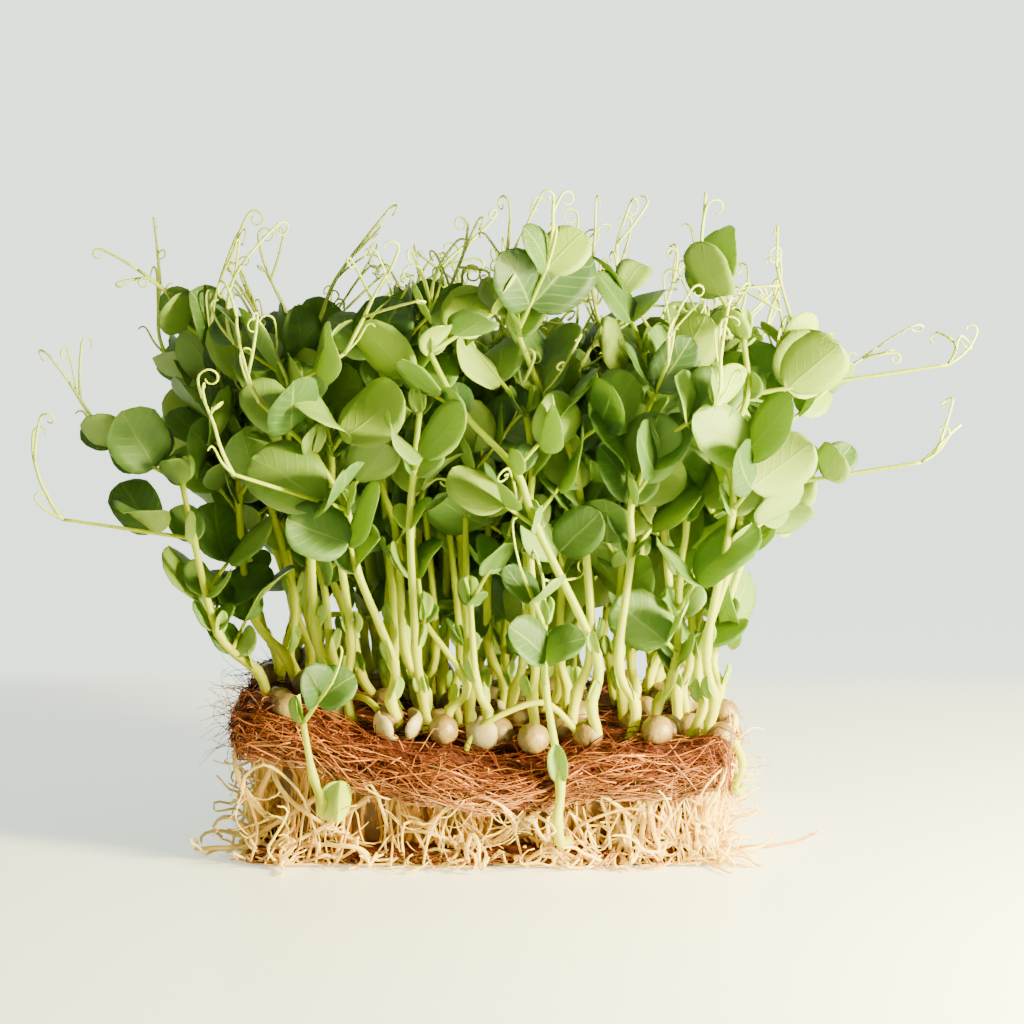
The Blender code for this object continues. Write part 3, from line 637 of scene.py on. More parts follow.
def wave(waves, x, y):
    return sum(size * math.sin(a * x + b * y + phase) for size, a, b, phase in waves)


def smooth_fraction(t):
    t = min(max(t, 0.0), 1.0)
    return t * t * (3 - 2 * t)


def mat_underside(x):
    """Height of the upper mat's underside: it lifts towards the left end."""
    lift = smooth_fraction((LIFT_START - x) / (MAT_WIDTH / 2 + LIFT_START))
    return UNDERSIDE_HEIGHT + LEFT_LIFT * lift


def mat_top(x, y):
    return mat_underside(x) + MAT_THICKNESS + wave(TOP_WAVES, x, y)


def smooth_route(points, step, fewest=1):
    """Points about a step apart on a Catmull-Rom curve through the route's, and where those are in it."""
    route = [Vector(p) for p in points]
    ends = [2 * route[0] - route[1], *route, 2 * route[-1] - route[-2]]
    smooth = [route[0]]
    marks = [0]
    for before, start, end, after in zip(ends, ends[1:], ends[2:], ends[3:]):
        pieces = max(fewest, round((end - start).length / step))
        for i in range(1, pieces + 1):
            t = i / pieces
            bend = (end - before) * t + (2 * before - 5 * start + 4 * end - after) * t * t
            smooth.append(start + 0.5 * (bend + (3 * start - before - 3 * end + after) * t**3))
        marks.append(len(smooth) - 1)
    return smooth, marks


def across(heading, side):
    """Part of side that is square to heading."""
    return (side - side.dot(heading) * heading).normalized()


def compass(azimuth):
    """Level direction at an angle from +X."""
    return Vector((math.cos(azimuth), math.sin(azimuth), 0.0))


def tendril_route(start, heading, end, turns):
    """A tendril leaves along its stalk, reaches its end point, and hooks round there."""
    span = (end - start).length
    side = heading.cross(end - start)
    side = side.normalized() if side.length > MM * span else Vector((0.0, -1.0, 0.0))
    route = [start, start.lerp(end, TENDRIL_KNEE) + heading * span * TENDRIL_SWEEP, end]
    forward = (route[2] - route[1]).normalized()
    inward = side.cross(forward) * math.copysign(1.0, turns)
    hook = HOOK_RADIUS * min(1.0, span / HOOK_SPAN)
    steps = math.ceil(abs(turns) * HOOK_POINTS_PER_TURN)
    for i in range(1, steps + 1):
        angle = 2 * math.pi * abs(turns) * i / steps
        shrink = hook * (1 - HOOK_CLOSING * i / steps)
        route.append(end + forward * shrink * math.sin(angle) + inward * (hook - shrink * math.cos(angle)))
    return route


def grow_pair(knee, heading, out, size, rng):
    """A pair of blades that spread from a stalk and face up and outwards."""
    side = across(heading, out.cross(UP))
    blades = []
    for hand in (-1, 1):
        spread = math.radians(rng.uniform(*BLADE_SPREAD))
        axis = heading * math.cos(spread) + side * hand * math.sin(spread)
        axis = (axis + UP * rng.uniform(*BLADE_LIFT)).normalized()
        face = Vector(rng.normal(0, FACE_SCATTER, 3)) + UP * FACE_UP + out * FACE_OUT
        tip = knee + axis * size * rng.uniform(*BLADE_SHARE)
        blades.append(Blade(knee, tip, rng.uniform(*BLADE_RATIO), across(axis, face)))
    return blades


def plan_leaf(start, azimuth, size, reach, rng, with_tendril):
    """A leaf at a stem point. Reach is how far its stalk runs on beyond its blades."""
    rise = math.radians(rng.uniform(*STALK_RISE)) * (LONG_STALK_RISE if reach else 1.0)
    out = compass(azimuth)
    heading = out * math.cos(rise) + UP * math.sin(rise)
    knee = start + heading * size * rng.uniform(*STALK_SHARE)
    blades = grow_pair(knee, heading, out, size, rng)
    if not with_tendril:
        return Leaf([start, knee], blades, [])
    end = knee + heading * (reach + size * rng.uniform(*TENDRIL_SHARE))
    tip = end + heading * TENDRIL_RISE + UP * TENDRIL_RISE * rng.uniform(*TENDRIL_LIFT)
    return Leaf([start, knee, end], blades, [(tip, rng.choice(TENDRIL_TURNS))])


def plan_stem(foot, height, lean, bow, heading, leaf_count):
    """A stem that leans more the higher it gets, bows in its middle, and zigzags at its leaves."""
    lowest = 1 - (leaf_count - 1) * LEAF_SPACING / height
    leaf_places = [lowest + (1 - lowest) * i / max(1, leaf_count - 1) for i in range(leaf_count)]
    if leaf_count == 1:
        leaf_places = [1.0]
    stem = [foot]
    for i, t in enumerate([*(lowest * rest for rest in STEM_REST), *leaf_places]):
        swing = compass(heading) * ZIGZAG * (-1) ** i
        bowed = Vector((bow, 0, 0)) * math.sin(math.pi * t)
        stem.append(foot + UP * height * t + lean * t**LEAN_CURVE + bowed + swing)
    return stem


def plan_shoot(name, foot, height, lean, bow, reach, rng):
    """A shoot with leaves on alternate sides of its stem."""
    leaf_count = min(MOST_LEAVES, max(1, int(height / STEM_PER_LEAF)))
    heading = rng.uniform(0, 2 * math.pi)
    stem = plan_stem(foot, height, lean, bow, heading, leaf_count)
    first = len(stem) - leaf_count
    leaves = []
    for i in range(leaf_count):
        azimuth = heading + math.pi * i + rng.normal(0, AZIMUTH_SCATTER)
        longest = reach if i == leaf_count - 2 else 0
        if longest:
            azimuth = math.pi * (lean.x < 0) + rng.normal(0, AZIMUTH_SCATTER / 2)
        size = rng.uniform(*LEAF_SIZE)
        ends = i == leaf_count - 1 or bool(longest)
        leaves.append(plan_leaf(stem[first + i], azimuth, size, longest, rng, ends))
    return Shoot(name, stem, leaves)


def habit_shoot(row, rng):
    """A front shoot from its row of driving dimensions."""
    name, place_across, back, share, lean, bow, reach = row
    x = place_across * MAT_WIDTH / 2
    y = back - MAT_DEPTH / 2
    foot = Vector((x, y, mat_top(x, y) + FOOT_LIFT))
    tip_lean = Vector((lean, rng.normal(0, LEAN_SPREAD / 2), 0))
    return plan_shoot(name, foot, CANOPY_HEIGHT * share, tip_lean, bow, reach, rng)


def side_shoot(row, rng):
    """A shoot that comes out of the block's front side."""
    name, place_across, foot_height, share, lean = row
    foot = Vector((place_across * MAT_WIDTH / 2, -MAT_DEPTH / 2 - SIDE_CLEARANCE, foot_height))
    return plan_shoot(name, foot, CANOPY_HEIGHT * share, Vector((lean, 0, 0)), 0, 0, rng)


def plot_shoot(name, x, y, rng):
    """A shoot grown by rule: lower towards the mat's ends, and leaning outwards there."""
    height = (CANOPY_HEIGHT - SHOULDER_DROP * (2 * x / MAT_WIDTH) ** 2) * rng.uniform(*HEIGHT_SPREAD)
    scatter = compass(rng.uniform(0, 2 * math.pi)) * LEAN_SPREAD
    lean = Vector((OUTWARD_LEAN * x, OUTWARD_LEAN * max(y, 0), 0)) + scatter
    foot = Vector((x, y, mat_top(x, y) + FOOT_LIFT))
    return plan_shoot(name, foot, height, lean, rng.normal(0, LEAN_SPREAD / 2), 0, rng)


def along(points, step):
    """Sample points on straight runs, a step apart."""
    samples = []
    for start, end in zip(points, points[1:]):
        count = max(1, math.ceil((end - start).length / step))
        samples += [start.lerp(end, i / count) for i in range(count)]
    return samples + [points[-1]]


def over_blade(blade):
    """Sample points over a blade: along its midrib and out to both edges."""
    axis = blade.tip - blade.base
    side = axis.cross(blade.normal).normalized() * axis.length * blade.ratio / 2
    return [blade.base + axis * t + side * width * spot for t, width in BLADE_SAMPLES for spot in BLADE_SPOTS]


class Crowd:
    """Sample points of all that stands on the mat so far, so that newcomers keep clear of it."""

    def __init__(self):
        self.points = np.empty((0, 3))

    def room(self, samples):
        """Smallest distance between the samples and the points already there."""
        if not len(self.points):
            return math.inf
        spots = np.array([tuple(p) for p in samples])
        low, high = spots.min(0) - NEARBY, spots.max(0) + NEARBY
        near = self.points[((self.points > low) & (self.points < high)).all(1)]
        if not len(near):
            return math.inf
        return float(np.sqrt(((spots[:, None] - near[None]) ** 2).sum(2).min()))

    def add(self, samples):
        if samples:
            self.points = np.vstack([self.points, [tuple(p) for p in samples]])

    def without(self, samples):
        """The crowd less the points of one of its own members."""
        own = {tuple(np.float64(v) for v in p) for p in samples}
        rest = Crowd()
        rest.points = np.array([p for p in self.points if tuple(p) not in own]).reshape(-1, 3)
        return rest


def shifted(shoot, dy):
    """The same shoot, moved back or forward. One that stands on the mat follows its height."""
    foot = shoot.stem[0]
    on_mat = abs(foot.y) < MAT_DEPTH / 2
    step = Vector((0, dy, mat_top(foot.x, foot.y + dy) - mat_top(foot.x, foot.y) if on_mat else 0))
    leaves = []
    for leaf in shoot.leaves:
        blades = [Blade(b.base + step, b.tip + step, b.ratio, b.normal) for b in leaf.blades]
        stalk = [p + step for p in leaf.stalk]
        tendrils = [(end + step, turns) for end, turns in leaf.tendrils]
        leaves.append(Leaf(stalk, blades, tendrils))
    return Shoot(shoot.name, [p + step for p in shoot.stem], leaves)


def stem_samples(shoot):
    return along(smooth_route(shoot.stem, STEM_STEP)[0], SAMPLE_STEP)


def turned(leaf, angle):
    """The same leaf, turned about the upright axis through its stem point."""
    turn = Matrix.Rotation(math.radians(angle), 3, "Z")
    start = leaf.stalk[0]
    stalk = [start + turn @ (p - start) for p in leaf.stalk]
    tendrils = [(start + turn @ (end - start), turns) for end, turns in leaf.tendrils]
    blades = []
    for blade in leaf.blades:
        base, tip = (start + turn @ (p - start) for p in (blade.base, blade.tip))
        blades.append(Blade(base, tip, blade.ratio, turn @ blade.normal))
    return Leaf(stalk, blades, tendrils)


def leaf_samples(leaf):
    """Sample points of a leaf, past the start of its stalk."""
    samples = along(leaf.stalk, SAMPLE_STEP)[1:]
    for blade in leaf.blades:
        samples += over_blade(blade)
    for end, _ in leaf.tendrils:
        samples += along([leaf.stalk[-1], end], SAMPLE_STEP)[1:]
    return samples


def pea_samples(centre):
    """A pea's middle and the points of its surface to the sides and above."""
    ways = ((0, 0, 0), (1, 0, 0), (-1, 0, 0), (0, 1, 0), (0, -1, 0), (0, 0, 1))
    return [centre + Vector(way) * PEA_RADIUS for way in ways]


def stand(shoot, crowd, room=STEM_ROOM):
    """Stand a shoot where its stem is clear, moving it back or forward. None if it never is."""
    for dy in SIDESTEPS:
        moved = shifted(shoot, dy)
        if crowd.room(stem_samples(moved)) > room:
            crowd.add(stem_samples(moved))
            return moved
    return None


def give_pea(shoot, crowd):
    """Lay a shoot's pea on the mat beside its foot, on the first side that is free."""
    for i in range(PEA_SIDES):
        pea = shoot.stem[0] + compass(i * GOLDEN_ANGLE) * PEA_REACH
        pea.z = mat_top(pea.x, pea.y) + PEA_RADIUS + PEA_LIFT
        inside = abs(pea.x) < MAT_WIDTH / 2 and abs(pea.y) < MAT_DEPTH / 2
        others = crowd.without(stem_samples(shoot))
        if inside and others.room(pea_samples(pea)) > PEA_ROOM:
            shoot.pea = pea
            crowd.add(pea_samples(pea))
            return


def spread_leaves(shoot, crowd, room=LEAF_ROOM):
    """Turn each leaf about the stem until it clears its neighbours, or leave it out."""
    others = crowd.without(stem_samples(shoot))
    settled = []
    for leaf in shoot.leaves:
        choices = (turned(leaf, angle) for angle in LEAF_TURNS)
        clear = next((choice for choice in choices if others.room(leaf_samples(choice)) > room), None)
        if clear:
            settled.append(clear)
    shoot.leaves = settled
    for leaf in settled:
        crowd.add(leaf_samples(leaf))


def loose_pea_places():
    """Middles of the peas that lie along the front edge without a shoot."""
    rng = np.random.default_rng(SEED + 1)
    places = []
    for i in range(LOOSE_PEA_COUNT):
        x = MAT_WIDTH * ((i + 0.5) / LOOSE_PEA_COUNT - 0.5) + rng.uniform(-1, 1) * LOOSE_PEA_SCATTER
        y = LOOSE_PEA_INSET - MAT_DEPTH / 2
        places.append(Vector((x, y, mat_top(x, y) + PEA_RADIUS + PEA_LIFT)))
    return places


def fill_plot(filling, label, crowd, rng):
    """A shoot by rule in each cell of a plot, where one fits in so many tries."""
    (left, right, front, back), columns, rows, margin, tries, stem_room, leaf_room = filling
    shoots = []
    for number in range(columns * rows):
        column, row = number % columns, number // columns
        for _ in range(tries):
            part_x, part_y = rng.uniform(margin, 1 - margin, 2)
            x = left + (right - left) * (column + part_x) / columns
            y = front + (back - front) * (row + part_y) / rows
            before = crowd.points
            shoot = stand(plot_shoot(f"{label}_{number + 1:02d}", x, y, rng), crowd, stem_room)
            if shoot:
                give_pea(shoot, crowd)
                spread_leaves(shoot, crowd, leaf_room)
            if shoot and len(shoot.leaves) >= FEWEST_LEAVES:
                shoots.append(shoot)
                break
            crowd.points = before
    return shoots


def plan_shoots():
    """All shoots: the front ones by their habits, then one by rule in each cell behind them."""
    rng = np.random.default_rng(SEED)
    crowd = Crowd()
    for place_of_pea in loose_pea_places():
        crowd.add(pea_samples(place_of_pea))
    planned = [habit_shoot(row, rng) for row in HABITS] + [side_shoot(row, rng) for row in SIDE_SHOOTS]
    shoots = [shoot for shoot in (stand(plan, crowd) for plan in planned) if shoot]
    for shoot in shoots:
        give_pea(shoot, crowd)
    for shoot in shoots:
        spread_leaves(shoot, crowd)
    return shoots + fill_plot(PLOT_FILLING, "shoot", crowd, rng)


def slab_outline(u, v, width, depth):
    """Place on a slab for u and v from -1 to 1: a rectangle with round, slightly uneven sides."""
    uneven = 1 + wave(OUTLINE_WAVES, u, v)
    x = width / 2 * u * math.sqrt(1 - SLAB_ROUNDING * v * v) * uneven
    y = depth / 2 * v * math.sqrt(1 - SLAB_ROUNDING * u * u) * uneven
    return x, y


class Shape:
    """Points, faces and per-point values that become one mesh."""

    def __init__(self):
        self.points, self.faces, self.values = [], [], {"run": [], "aside": [], "tone": [], "under": []}
        self.count = 0

    def add(self, points, faces, run, aside=0.0, tone=0.5, under=0.0):
        size = len(points)
        self.points.append(np.asarray(points, float))
        self.faces += [tuple(int(i) + self.count for i in face) for face in faces]
        for name, value in (("run", run), ("aside", aside), ("tone", tone), ("under", under)):
            self.values[name].append(np.broadcast_to(np.asarray(value, float), (size,)))
        self.count += size

    def make(self, name, finish, slot_name):
        """The mesh as a smooth piece that rides on the block."""
        mesh = bpy.data.meshes.new(name)
        mesh.from_pydata((np.vstack(self.points) * MM).tolist(), [], self.faces)
        for key, parts in self.values.items():
            layer = mesh.attributes.new(key, "FLOAT", "POINT")
            layer.data.foreach_set("value", np.concatenate(parts).astype(np.float32))
        mesh.materials.append(finish)
        mesh.shade_smooth()
        piece = bpy.data.objects.new(name, mesh)
        bpy.context.collection.objects.link(piece)
        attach(piece, "root")
        return piece


def array(points):
    return np.array([tuple(p) for p in points], float)


def unit(vectors):
    return vectors / np.maximum(np.linalg.norm(vectors, axis=-1, keepdims=True), TINY)


def ring(count):
    """Pairs of neighbours round a closed loop of points."""
    return [(i, (i + 1) % count) for i in range(count)]


def grid_rim(columns, rows):
    """Places round the rim of a grid, from its first corner."""
    rim = [(i, 0) for i in range(columns)] + [(columns, j) for j in range(rows)]
    return rim + [(i, rows) for i in range(columns, 0, -1)] + [(0, j) for j in range(rows, 0, -1)]


def within(value, low=0.0, high=1.0):
    return min(max(value, low), high)


def tube(shape, points, radii, sides, tone=0.5, under=0.0, run=None):
    """A closed round tube along points."""
    points = np.asarray(points, float)
    count = len(points)
    radii = np.broadcast_to(np.asarray(radii, float), (count,))
    heading = unit(np.gradient(points, axis=0))
    side = np.empty_like(points)
    side[0] = unit(np.cross(heading[0], ODD_WAY))
    for i in range(1, count):
        side[i] = unit(side[i - 1] - heading[i] * side[i - 1].dot(heading[i]))
    other = np.cross(heading, side)
    angles = np.arange(sides) * 2 * math.pi / sides
    round_way = np.cos(angles)[None, :, None] * side[:, None] + np.sin(angles)[None, :, None] * other[:, None]
    loops = points[:, None] + radii[:, None, None] * round_way
    along_run = np.linspace(0, 1, count) if run is None else np.asarray(run, float)
    vertices = np.vstack([loops.reshape(-1, 3), points[:1], points[-1:]])
    runs = np.concatenate([np.repeat(along_run, sides), along_run[:1], along_run[-1:]])
    faces = []
    for i in range(count - 1):
        low, high = i * sides, (i + 1) * sides
        faces += [(low + j, low + k, high + k, high + j) for j, k in ring(sides)]
    first, last, top = count * sides, count * sides + 1, (count - 1) * sides
    for j, k in ring(sides):
        faces += [(first, k, j), (last, top + j, top + k)]
    shape.add(vertices, faces, runs, tone=tone, under=under)


def strand(shape, path, radius, sides, tone, end=0.5, **values):
    """A tube that thins evenly to a share of its first radius."""
    tube(shape, path, radius * np.linspace(1, end, len(path)), sides, tone, **values)


def wander(start, heading, length, turn, steps, rng):
    """A path that keeps bending as it goes. Turn is about how many radians it bends in all."""
    path = [np.array(tuple(start), float)]
    way = unit(np.array(tuple(heading), float))
    bend = rng.normal(0, turn / steps, 3)
    for _ in range(steps):
        bend = bend * BEND_KEPT + rng.normal(0, turn / steps, 3) * BEND_KEPT
        way = unit(way + bend)
        path.append(path[-1] + way * length / steps)
    return np.array(path)


# ---- leaves and stems ----


def leaf_width(t):
    """Half width of a blade over its length, as a share of the widest: broad, with a round tip."""
    shift, roundness, foot = LEAF_OUTLINE
    return np.sqrt(np.maximum(1 - np.abs(2 * t**shift - 1) ** roundness, 0)) * (foot + (1 - foot) * t)


def leaf_blade(shape, blade, rng, tone, fold=None, toothed=True):
    """A thin closed blade: folded along its midrib, arched along its length, wavy at its edge."""
    base, tip, normal = array([blade.base, blade.tip, blade.normal])
    length = np.linalg.norm(tip - base)
    axis = unit(unit(tip - base) + (0, 0, TIP_LIFT)) * length
    side = unit(np.cross(axis, normal + LIGHTWARD))
    if fold is None and rng.random() < UNDERSIDE_SHARE:
        side = -side
    normal = np.cross(side, axis / length)
    fold = rng.uniform(*LEAF_FOLD) if fold is None else fold
    arch = rng.uniform(*LEAF_ARCH)
    phase = rng.uniform(0, 2 * math.pi)
    hidden = base[1] > BACK_FROM and abs(base[0]) < HIDDEN_WIDTH
    rows, columns = BACK_LEAF_GRID if hidden else FRONT_LEAF_GRID
    steps = (1 - np.cos(np.arange(rows + 1) * math.pi / rows)) / 2
    t, s = np.meshgrid(steps, np.linspace(-1, 1, columns + 1), indexing="ij")
    half = length * blade.ratio * LEAF_BROADNESS / 2 * leaf_width(t)
    if toothed:
        zigzag = (-1.0) ** np.arange(rows + 1)[:, None]
        half = half * (1 + LEAF_TEETH * zigzag * np.clip(2 * t - TEETH_FROM, 0, 1) * np.abs(s) ** TEETH_CURVE)
    ripples = np.sin(RIPPLE_WAVES[0] * t + RIPPLE_WAVES[1] * s + phase)
    lift = fold * np.abs(s) ** FOLD_CURVE * half + arch * length * 4 * t * (t - 1)
    lift = lift + LEAF_RIPPLE * length * ripples * np.abs(s)
    middle = base + axis * t[..., None] + side * (s * half)[..., None] + normal * lift[..., None]
    swell = EDGE_SHARE + (1 - EDGE_SHARE) * np.sqrt(np.maximum(1 - s**2, 0))
    thin = normal * (LEAF_THICKNESS / 2 * swell)[..., None]
    size, row = t.size, columns + 1
    faces = []
    for i in range(rows):
        for j in range(columns):
            a = i * row + j
            faces.append((a, a + row, a + row + 1, a + 1))
            faces.append((size + a, size + a + 1, size + a + row + 1, size + a + row))
    rim = [i * row + j for j, i in grid_rim(columns, rows)]
    for a, b in zip(rim, rim[1:] + rim[:1]):
        faces.append((a, b, size + b, size + a))
    points = np.vstack([(middle + thin).reshape(-1, 3), (middle - thin).reshape(-1, 3)])
    shape.add(points, faces, np.tile(t.ravel(), 2), np.tile(s.ravel(), 2), tone, np.repeat([0.0, 1.0], size))


def curl(start, heading, length, rng):
    """A tendril that runs on in a bow and winds into a closing hook or coil."""
    side = across(heading, Vector(rng.normal(0, 1, 3)))
    other = heading.cross(side)
    turns, radius = rng.uniform(*CURL_TURNS), rng.uniform(*CURL_RADIUS)
    straight = rng.uniform(*CURL_STRAIGHT)
    run_on, winding = CURL_STEPS[0], math.ceil(CURL_STEPS[1] * turns)
    shares = [straight * i / run_on for i in range(run_on)]
    shares += [straight + (1 - straight) * i / winding for i in range(winding + 1)]
    points = []
    for t in shares:
        on = min(t / straight, 1.0)
        wound = max(0.0, (t - straight) / (1 - straight))
        angle = 2 * math.pi * turns * wound
        closing = radius * (1 - CURL_CLOSING * wound)
        forward = length * on + closing * math.sin(angle)
        aside = CURL_BOW * length * on**2 + radius - closing * math.cos(angle)
        points.append(start + heading * forward + side * aside + other * (CURL_DRIFT * wound * radius))
    return points


def within_limits(spots):
    return bool((spots > LOWEST_CORNER).all() and (spots < HIGHEST_CORNER).all())


def tendril(shape, path, radii, tone):
    """A tendril's tube. Its values under and run give it the tendrils' colour."""
    tube(shape, path, radii, TENDRIL_SIDES, tone, 1.0, np.full(len(path), TENDRIL_RUN))


def tendril_plume(shape, start, heading, rng, tone):
    """A tendril that branches as it rises, with a hook or coil at the end of every branch."""
    heading = (heading + UP * PLUME_RISE).normalized()
    for attempt in range(TENDRIL_TRIES):
        length = rng.uniform(*PLUME_LENGTH) * (1 - attempt / TENDRIL_TRIES)
        steps = max(FEWEST_PLUME_STEPS, int(length / PLUME_STEP))
        axis = wander(start, heading, length, PLUME_TURN, steps, rng)
        if within_limits(axis):
            break
    else:
        return
    tendril(shape, axis, np.linspace(*PLUME_RADIUS, steps + 1), tone)
    shares = rng.uniform(*FORK_PLACES, rng.integers(*PLUME_BRANCHES))
    for share in [*shares, 1.0]:
        at = int(share * steps)
        on = Vector(axis[at] - axis[at - 1]).normalized()
        scatter = FORK_SCATTER if share < 1 else TIP_SCATTER
        way = (on + Vector(rng.normal(0, scatter, 3))).normalized()
        longest = BRANCH_LENGTH[0] - BRANCH_LENGTH[1] * share
        for attempt in range(TENDRIL_TRIES):
            length = rng.uniform(*CURL_LENGTH) * longest * (1 - attempt / TENDRIL_TRIES)
            path = array(curl(Vector(axis[at]), way, length, rng))
            if within_limits(path):
                tendril(shape, path, np.linspace(PLUME_RADIUS[1], CURL_TIP_RADIUS, len(path)), tone)
                break


def level(way):
    """The level part of a direction."""
    flat = Vector((way.x, way.y, 0))
    return flat.normalized() if flat.length > MM else Vector((1, 0, 0))


def plan_stipules(leaf, rng):
    """Two ear-shaped blades that clasp the stem where a leaf leaves it."""
    start = leaf.stalk[0]
    out = level(leaf.stalk[-1] - start)
    side = out.cross(UP)
    blades = []
    for hand in (-1, 1):
        rise = rng.uniform(*STIPULE_RISE)
        axis = (side * hand * STIPULE_ASIDE + out * STIPULE_OUT + UP * rise).normalized()
        tip = start + axis * rng.uniform(*LEAF_SIZE) * rng.uniform(*STIPULE_SHARE)
        face = UP * STIPULE_FACE[0] - axis * STIPULE_FACE[1] + out * rng.uniform(*STIPULE_TURN)
        ratio = rng.uniform(*STIPULE_RATIO)
        blades.append(Blade(start - UP * STIPULE_DROP, tip, ratio, across(axis, face)))
    return blades


def plan_second_pair(leaf, rng):
    """A smaller pair of blades further out along a stalk that ends in a tendril."""
    knee, end = leaf.stalk[1], leaf.stalk[-1]
    heading = (end - knee).normalized()
    on = LEAF_SIZE[0] * rng.uniform(*SECOND_PAIR_PLACE) / (end - knee).length
    size = LEAF_SIZE[0] * SECOND_PAIR_SHARE
    return grow_pair(knee.lerp(end, min(1.0, on)), heading, level(heading), size, rng)


def is_beside(shoot):
    """Whether a shoot comes out of the block's front side."""
    return shoot.stem[0].y < -MAT_DEPTH / 2


def is_young(shoot):
    return shoot.stem[-1].z - shoot.stem[0].z < YOUNG_HEIGHT


def plan_scales(shoot, rng):
    """Scales on the bare lower stem, and young folded leaves at its tip."""
    scale = FRONT_BRACT_LENGTH if is_beside(shoot) else BRACT_LENGTH
    bare = shoot.stem[1:1 + len(STEM_REST)]
    if is_beside(shoot):
        bare = [] if is_young(shoot) else bare[1:]
    spots = [(spot, scale, SCALE_LEAN) for spot in bare]
    spots += [(shoot.stem[-1], BUD_LENGTH, BUD_LEAN)] * TIP_BUDS
    blades = []
    for spot, length, lean in spots:
        way = compass(rng.uniform(0, 2 * math.pi))
        axis = (UP + way * lean).normalized()
        blades.append(Blade(spot, spot + axis * length, SCALE_RATIO, across(axis, way)))
    return blades


def foot_route(shoot):
    """Points below a stem's foot: it hooks up from its pea, or rises out of the mat or the roots."""
    foot = shoot.stem[0]
    if is_beside(shoot):
        return [foot + Vector(step) for step in SIDE_FOOT]
    if shoot.pea:
        dip = foot + level(shoot.pea - foot) * FOOT_DIP - UP * FOOT_SINK
        return [shoot.pea - UP * PEA_RADIUS / 2, dip]
    inwards = Vector((-foot.x, -foot.y, 0)).normalized()
    return [foot + inwards * FOOT_DEPTH / 2 - UP * FOOT_DEPTH]


def grow_stem(shape, shoot, tone):
    """The stem itself, thicker at its foot and at its nodes."""
    feet = foot_route(shoot)
    points, marks = smooth_route([*feet, *shoot.stem], FINE_STEP)
    spots = array(points)
    fraction = np.linspace(0, 1, len(spots))
    radii = STEM_SLIMNESS * (STEM_FOOT_RADIUS + (STEM_TIP_RADIUS - STEM_FOOT_RADIUS) * fraction)
    radii = radii * (1 + FOOT_SWELL * np.exp(-((fraction * FOOT_SWELL_REACH) ** 2)))
    for mark in marks[len(feet) + 1:]:
        reach = np.linalg.norm(spots - spots[mark], axis=1) / NODE_SWELL_REACH
        radii = radii * (1 + NODE_SWELL * np.exp(-(reach**2)))
    tube(shape, spots, radii, STEM_SIDES, tone, run=share_of_height(spots[:, 2], shoot))


def share_of_height(z, shoot):
    return np.clip((z - shoot.stem[0].z) / CANOPY_HEIGHT, 0, 1)


def grow_stalk(shape, leaf, shoot, tone, rng):
    """A leaf's stalk and its tendrils."""
    start_share = float(share_of_height(leaf.stalk[0].z, shoot))
    route = array(smooth_route(leaf.stalk, FINE_STEP)[0])
    thin = np.linspace(STALK_RADIUS * STALK_TAPER[0], STALK_RADIUS * STALK_TAPER[1], len(route))
    tube(shape, route, thin, STALK_SIDES, tone, run=np.linspace(start_share, STALK_RUN, len(route)))
    heading = (leaf.stalk[-1] - leaf.stalk[0]).normalized()
    for end, turns in leaf.tendrils:
        route = tendril_route(leaf.stalk[-1], heading, end, turns)
        route = array(smooth_route(route, FINE_STEP, HOOK_STEPS)[0])
        tendril(shape, route, TENDRIL_RADIUS * np.linspace(1, 0.5, len(route)), tone)
        if not is_beside(shoot):
            tendril_plume(shape, leaf.stalk[-1], heading, rng, tone)


def dress_shoot(shoot, stems, leaves, rng):
    """A shoot's stem with stalks and tendrils, and its leaves, added to the two shapes."""
    tone = rng.random()
    young, beside = is_young(shoot), is_beside(shoot)
    grow_stem(stems, shoot, tone)
    for leaf in shoot.leaves:
        grow_stalk(stems, leaf, shoot, tone, rng)
        blades = leaf.blades if beside else leaf.blades + plan_stipules(leaf, rng)
        if leaf.tendrils and not young and not beside and rng.random() < SECOND_PAIR_ODDS:
            blades += plan_second_pair(leaf, rng)
        for blade in blades:
            if young or beside:
                tip = blade.base.lerp(blade.tip, YOUNG_SHARE)
                blade = Blade(blade.base, tip, YOUNG_RATIO, blade.normal)
            if beside:
                leaf_blade(leaves, blade, rng, rng.uniform(*SIDE_LEAF_TONE), fold=SIDE_LEAF_FOLD)
            else:
                # The random tone is darkened low down and towards the back as painted canopy shade.
                leaf_blade(leaves, blade, rng, rng.random() * painted_shade_factor(blade.base, shoot))
    for blade in plan_scales(shoot, rng):
        leaf_blade(leaves, blade, rng, rng.uniform(*SCALE_TONE), fold=SCALE_FOLD, toothed=False)
    if beside and young:
        grow_bud(stems, shoot.stem[0], rng)
    if not young and rng.random() < TIP_PLUME_SHARE:
        heading = UP + Vector(rng.normal(0, PLUME_SCATTER, 3))
        tendril_plume(stems, shoot.stem[-1], heading, rng, tone)


def painted_shade_factor(spot, shoot):
    """How much of a leaf's tone is kept under painted canopy shade: darker low down, and darker again towards
    the back.
    """
    share = float(share_of_height(spot.z, shoot))
    depth = within((spot.y - BACK_FROM) / MAT_DEPTH)
    return (LOW_LEAF_SHADED_TONE + (1 - LOW_LEAF_SHADED_TONE) * share) * (1 - depth * (1 - share))


def grow_bud(shape, foot, rng):
    """A fat bright bud beside a side shoot's foot: two cupped scales that close on each other."""
    base = foot + Vector(SIDE_BUD[0])
    tip = base + Vector(SIDE_BUD[1])
    for hand in (-1, 1):
        scale = Blade(base, tip, SIDE_BUD_RATIO, Vector((0, hand, 0)))
        leaf_blade(shape, scale, rng, 1.0, fold=SIDE_BUD_FOLD, toothed=False)


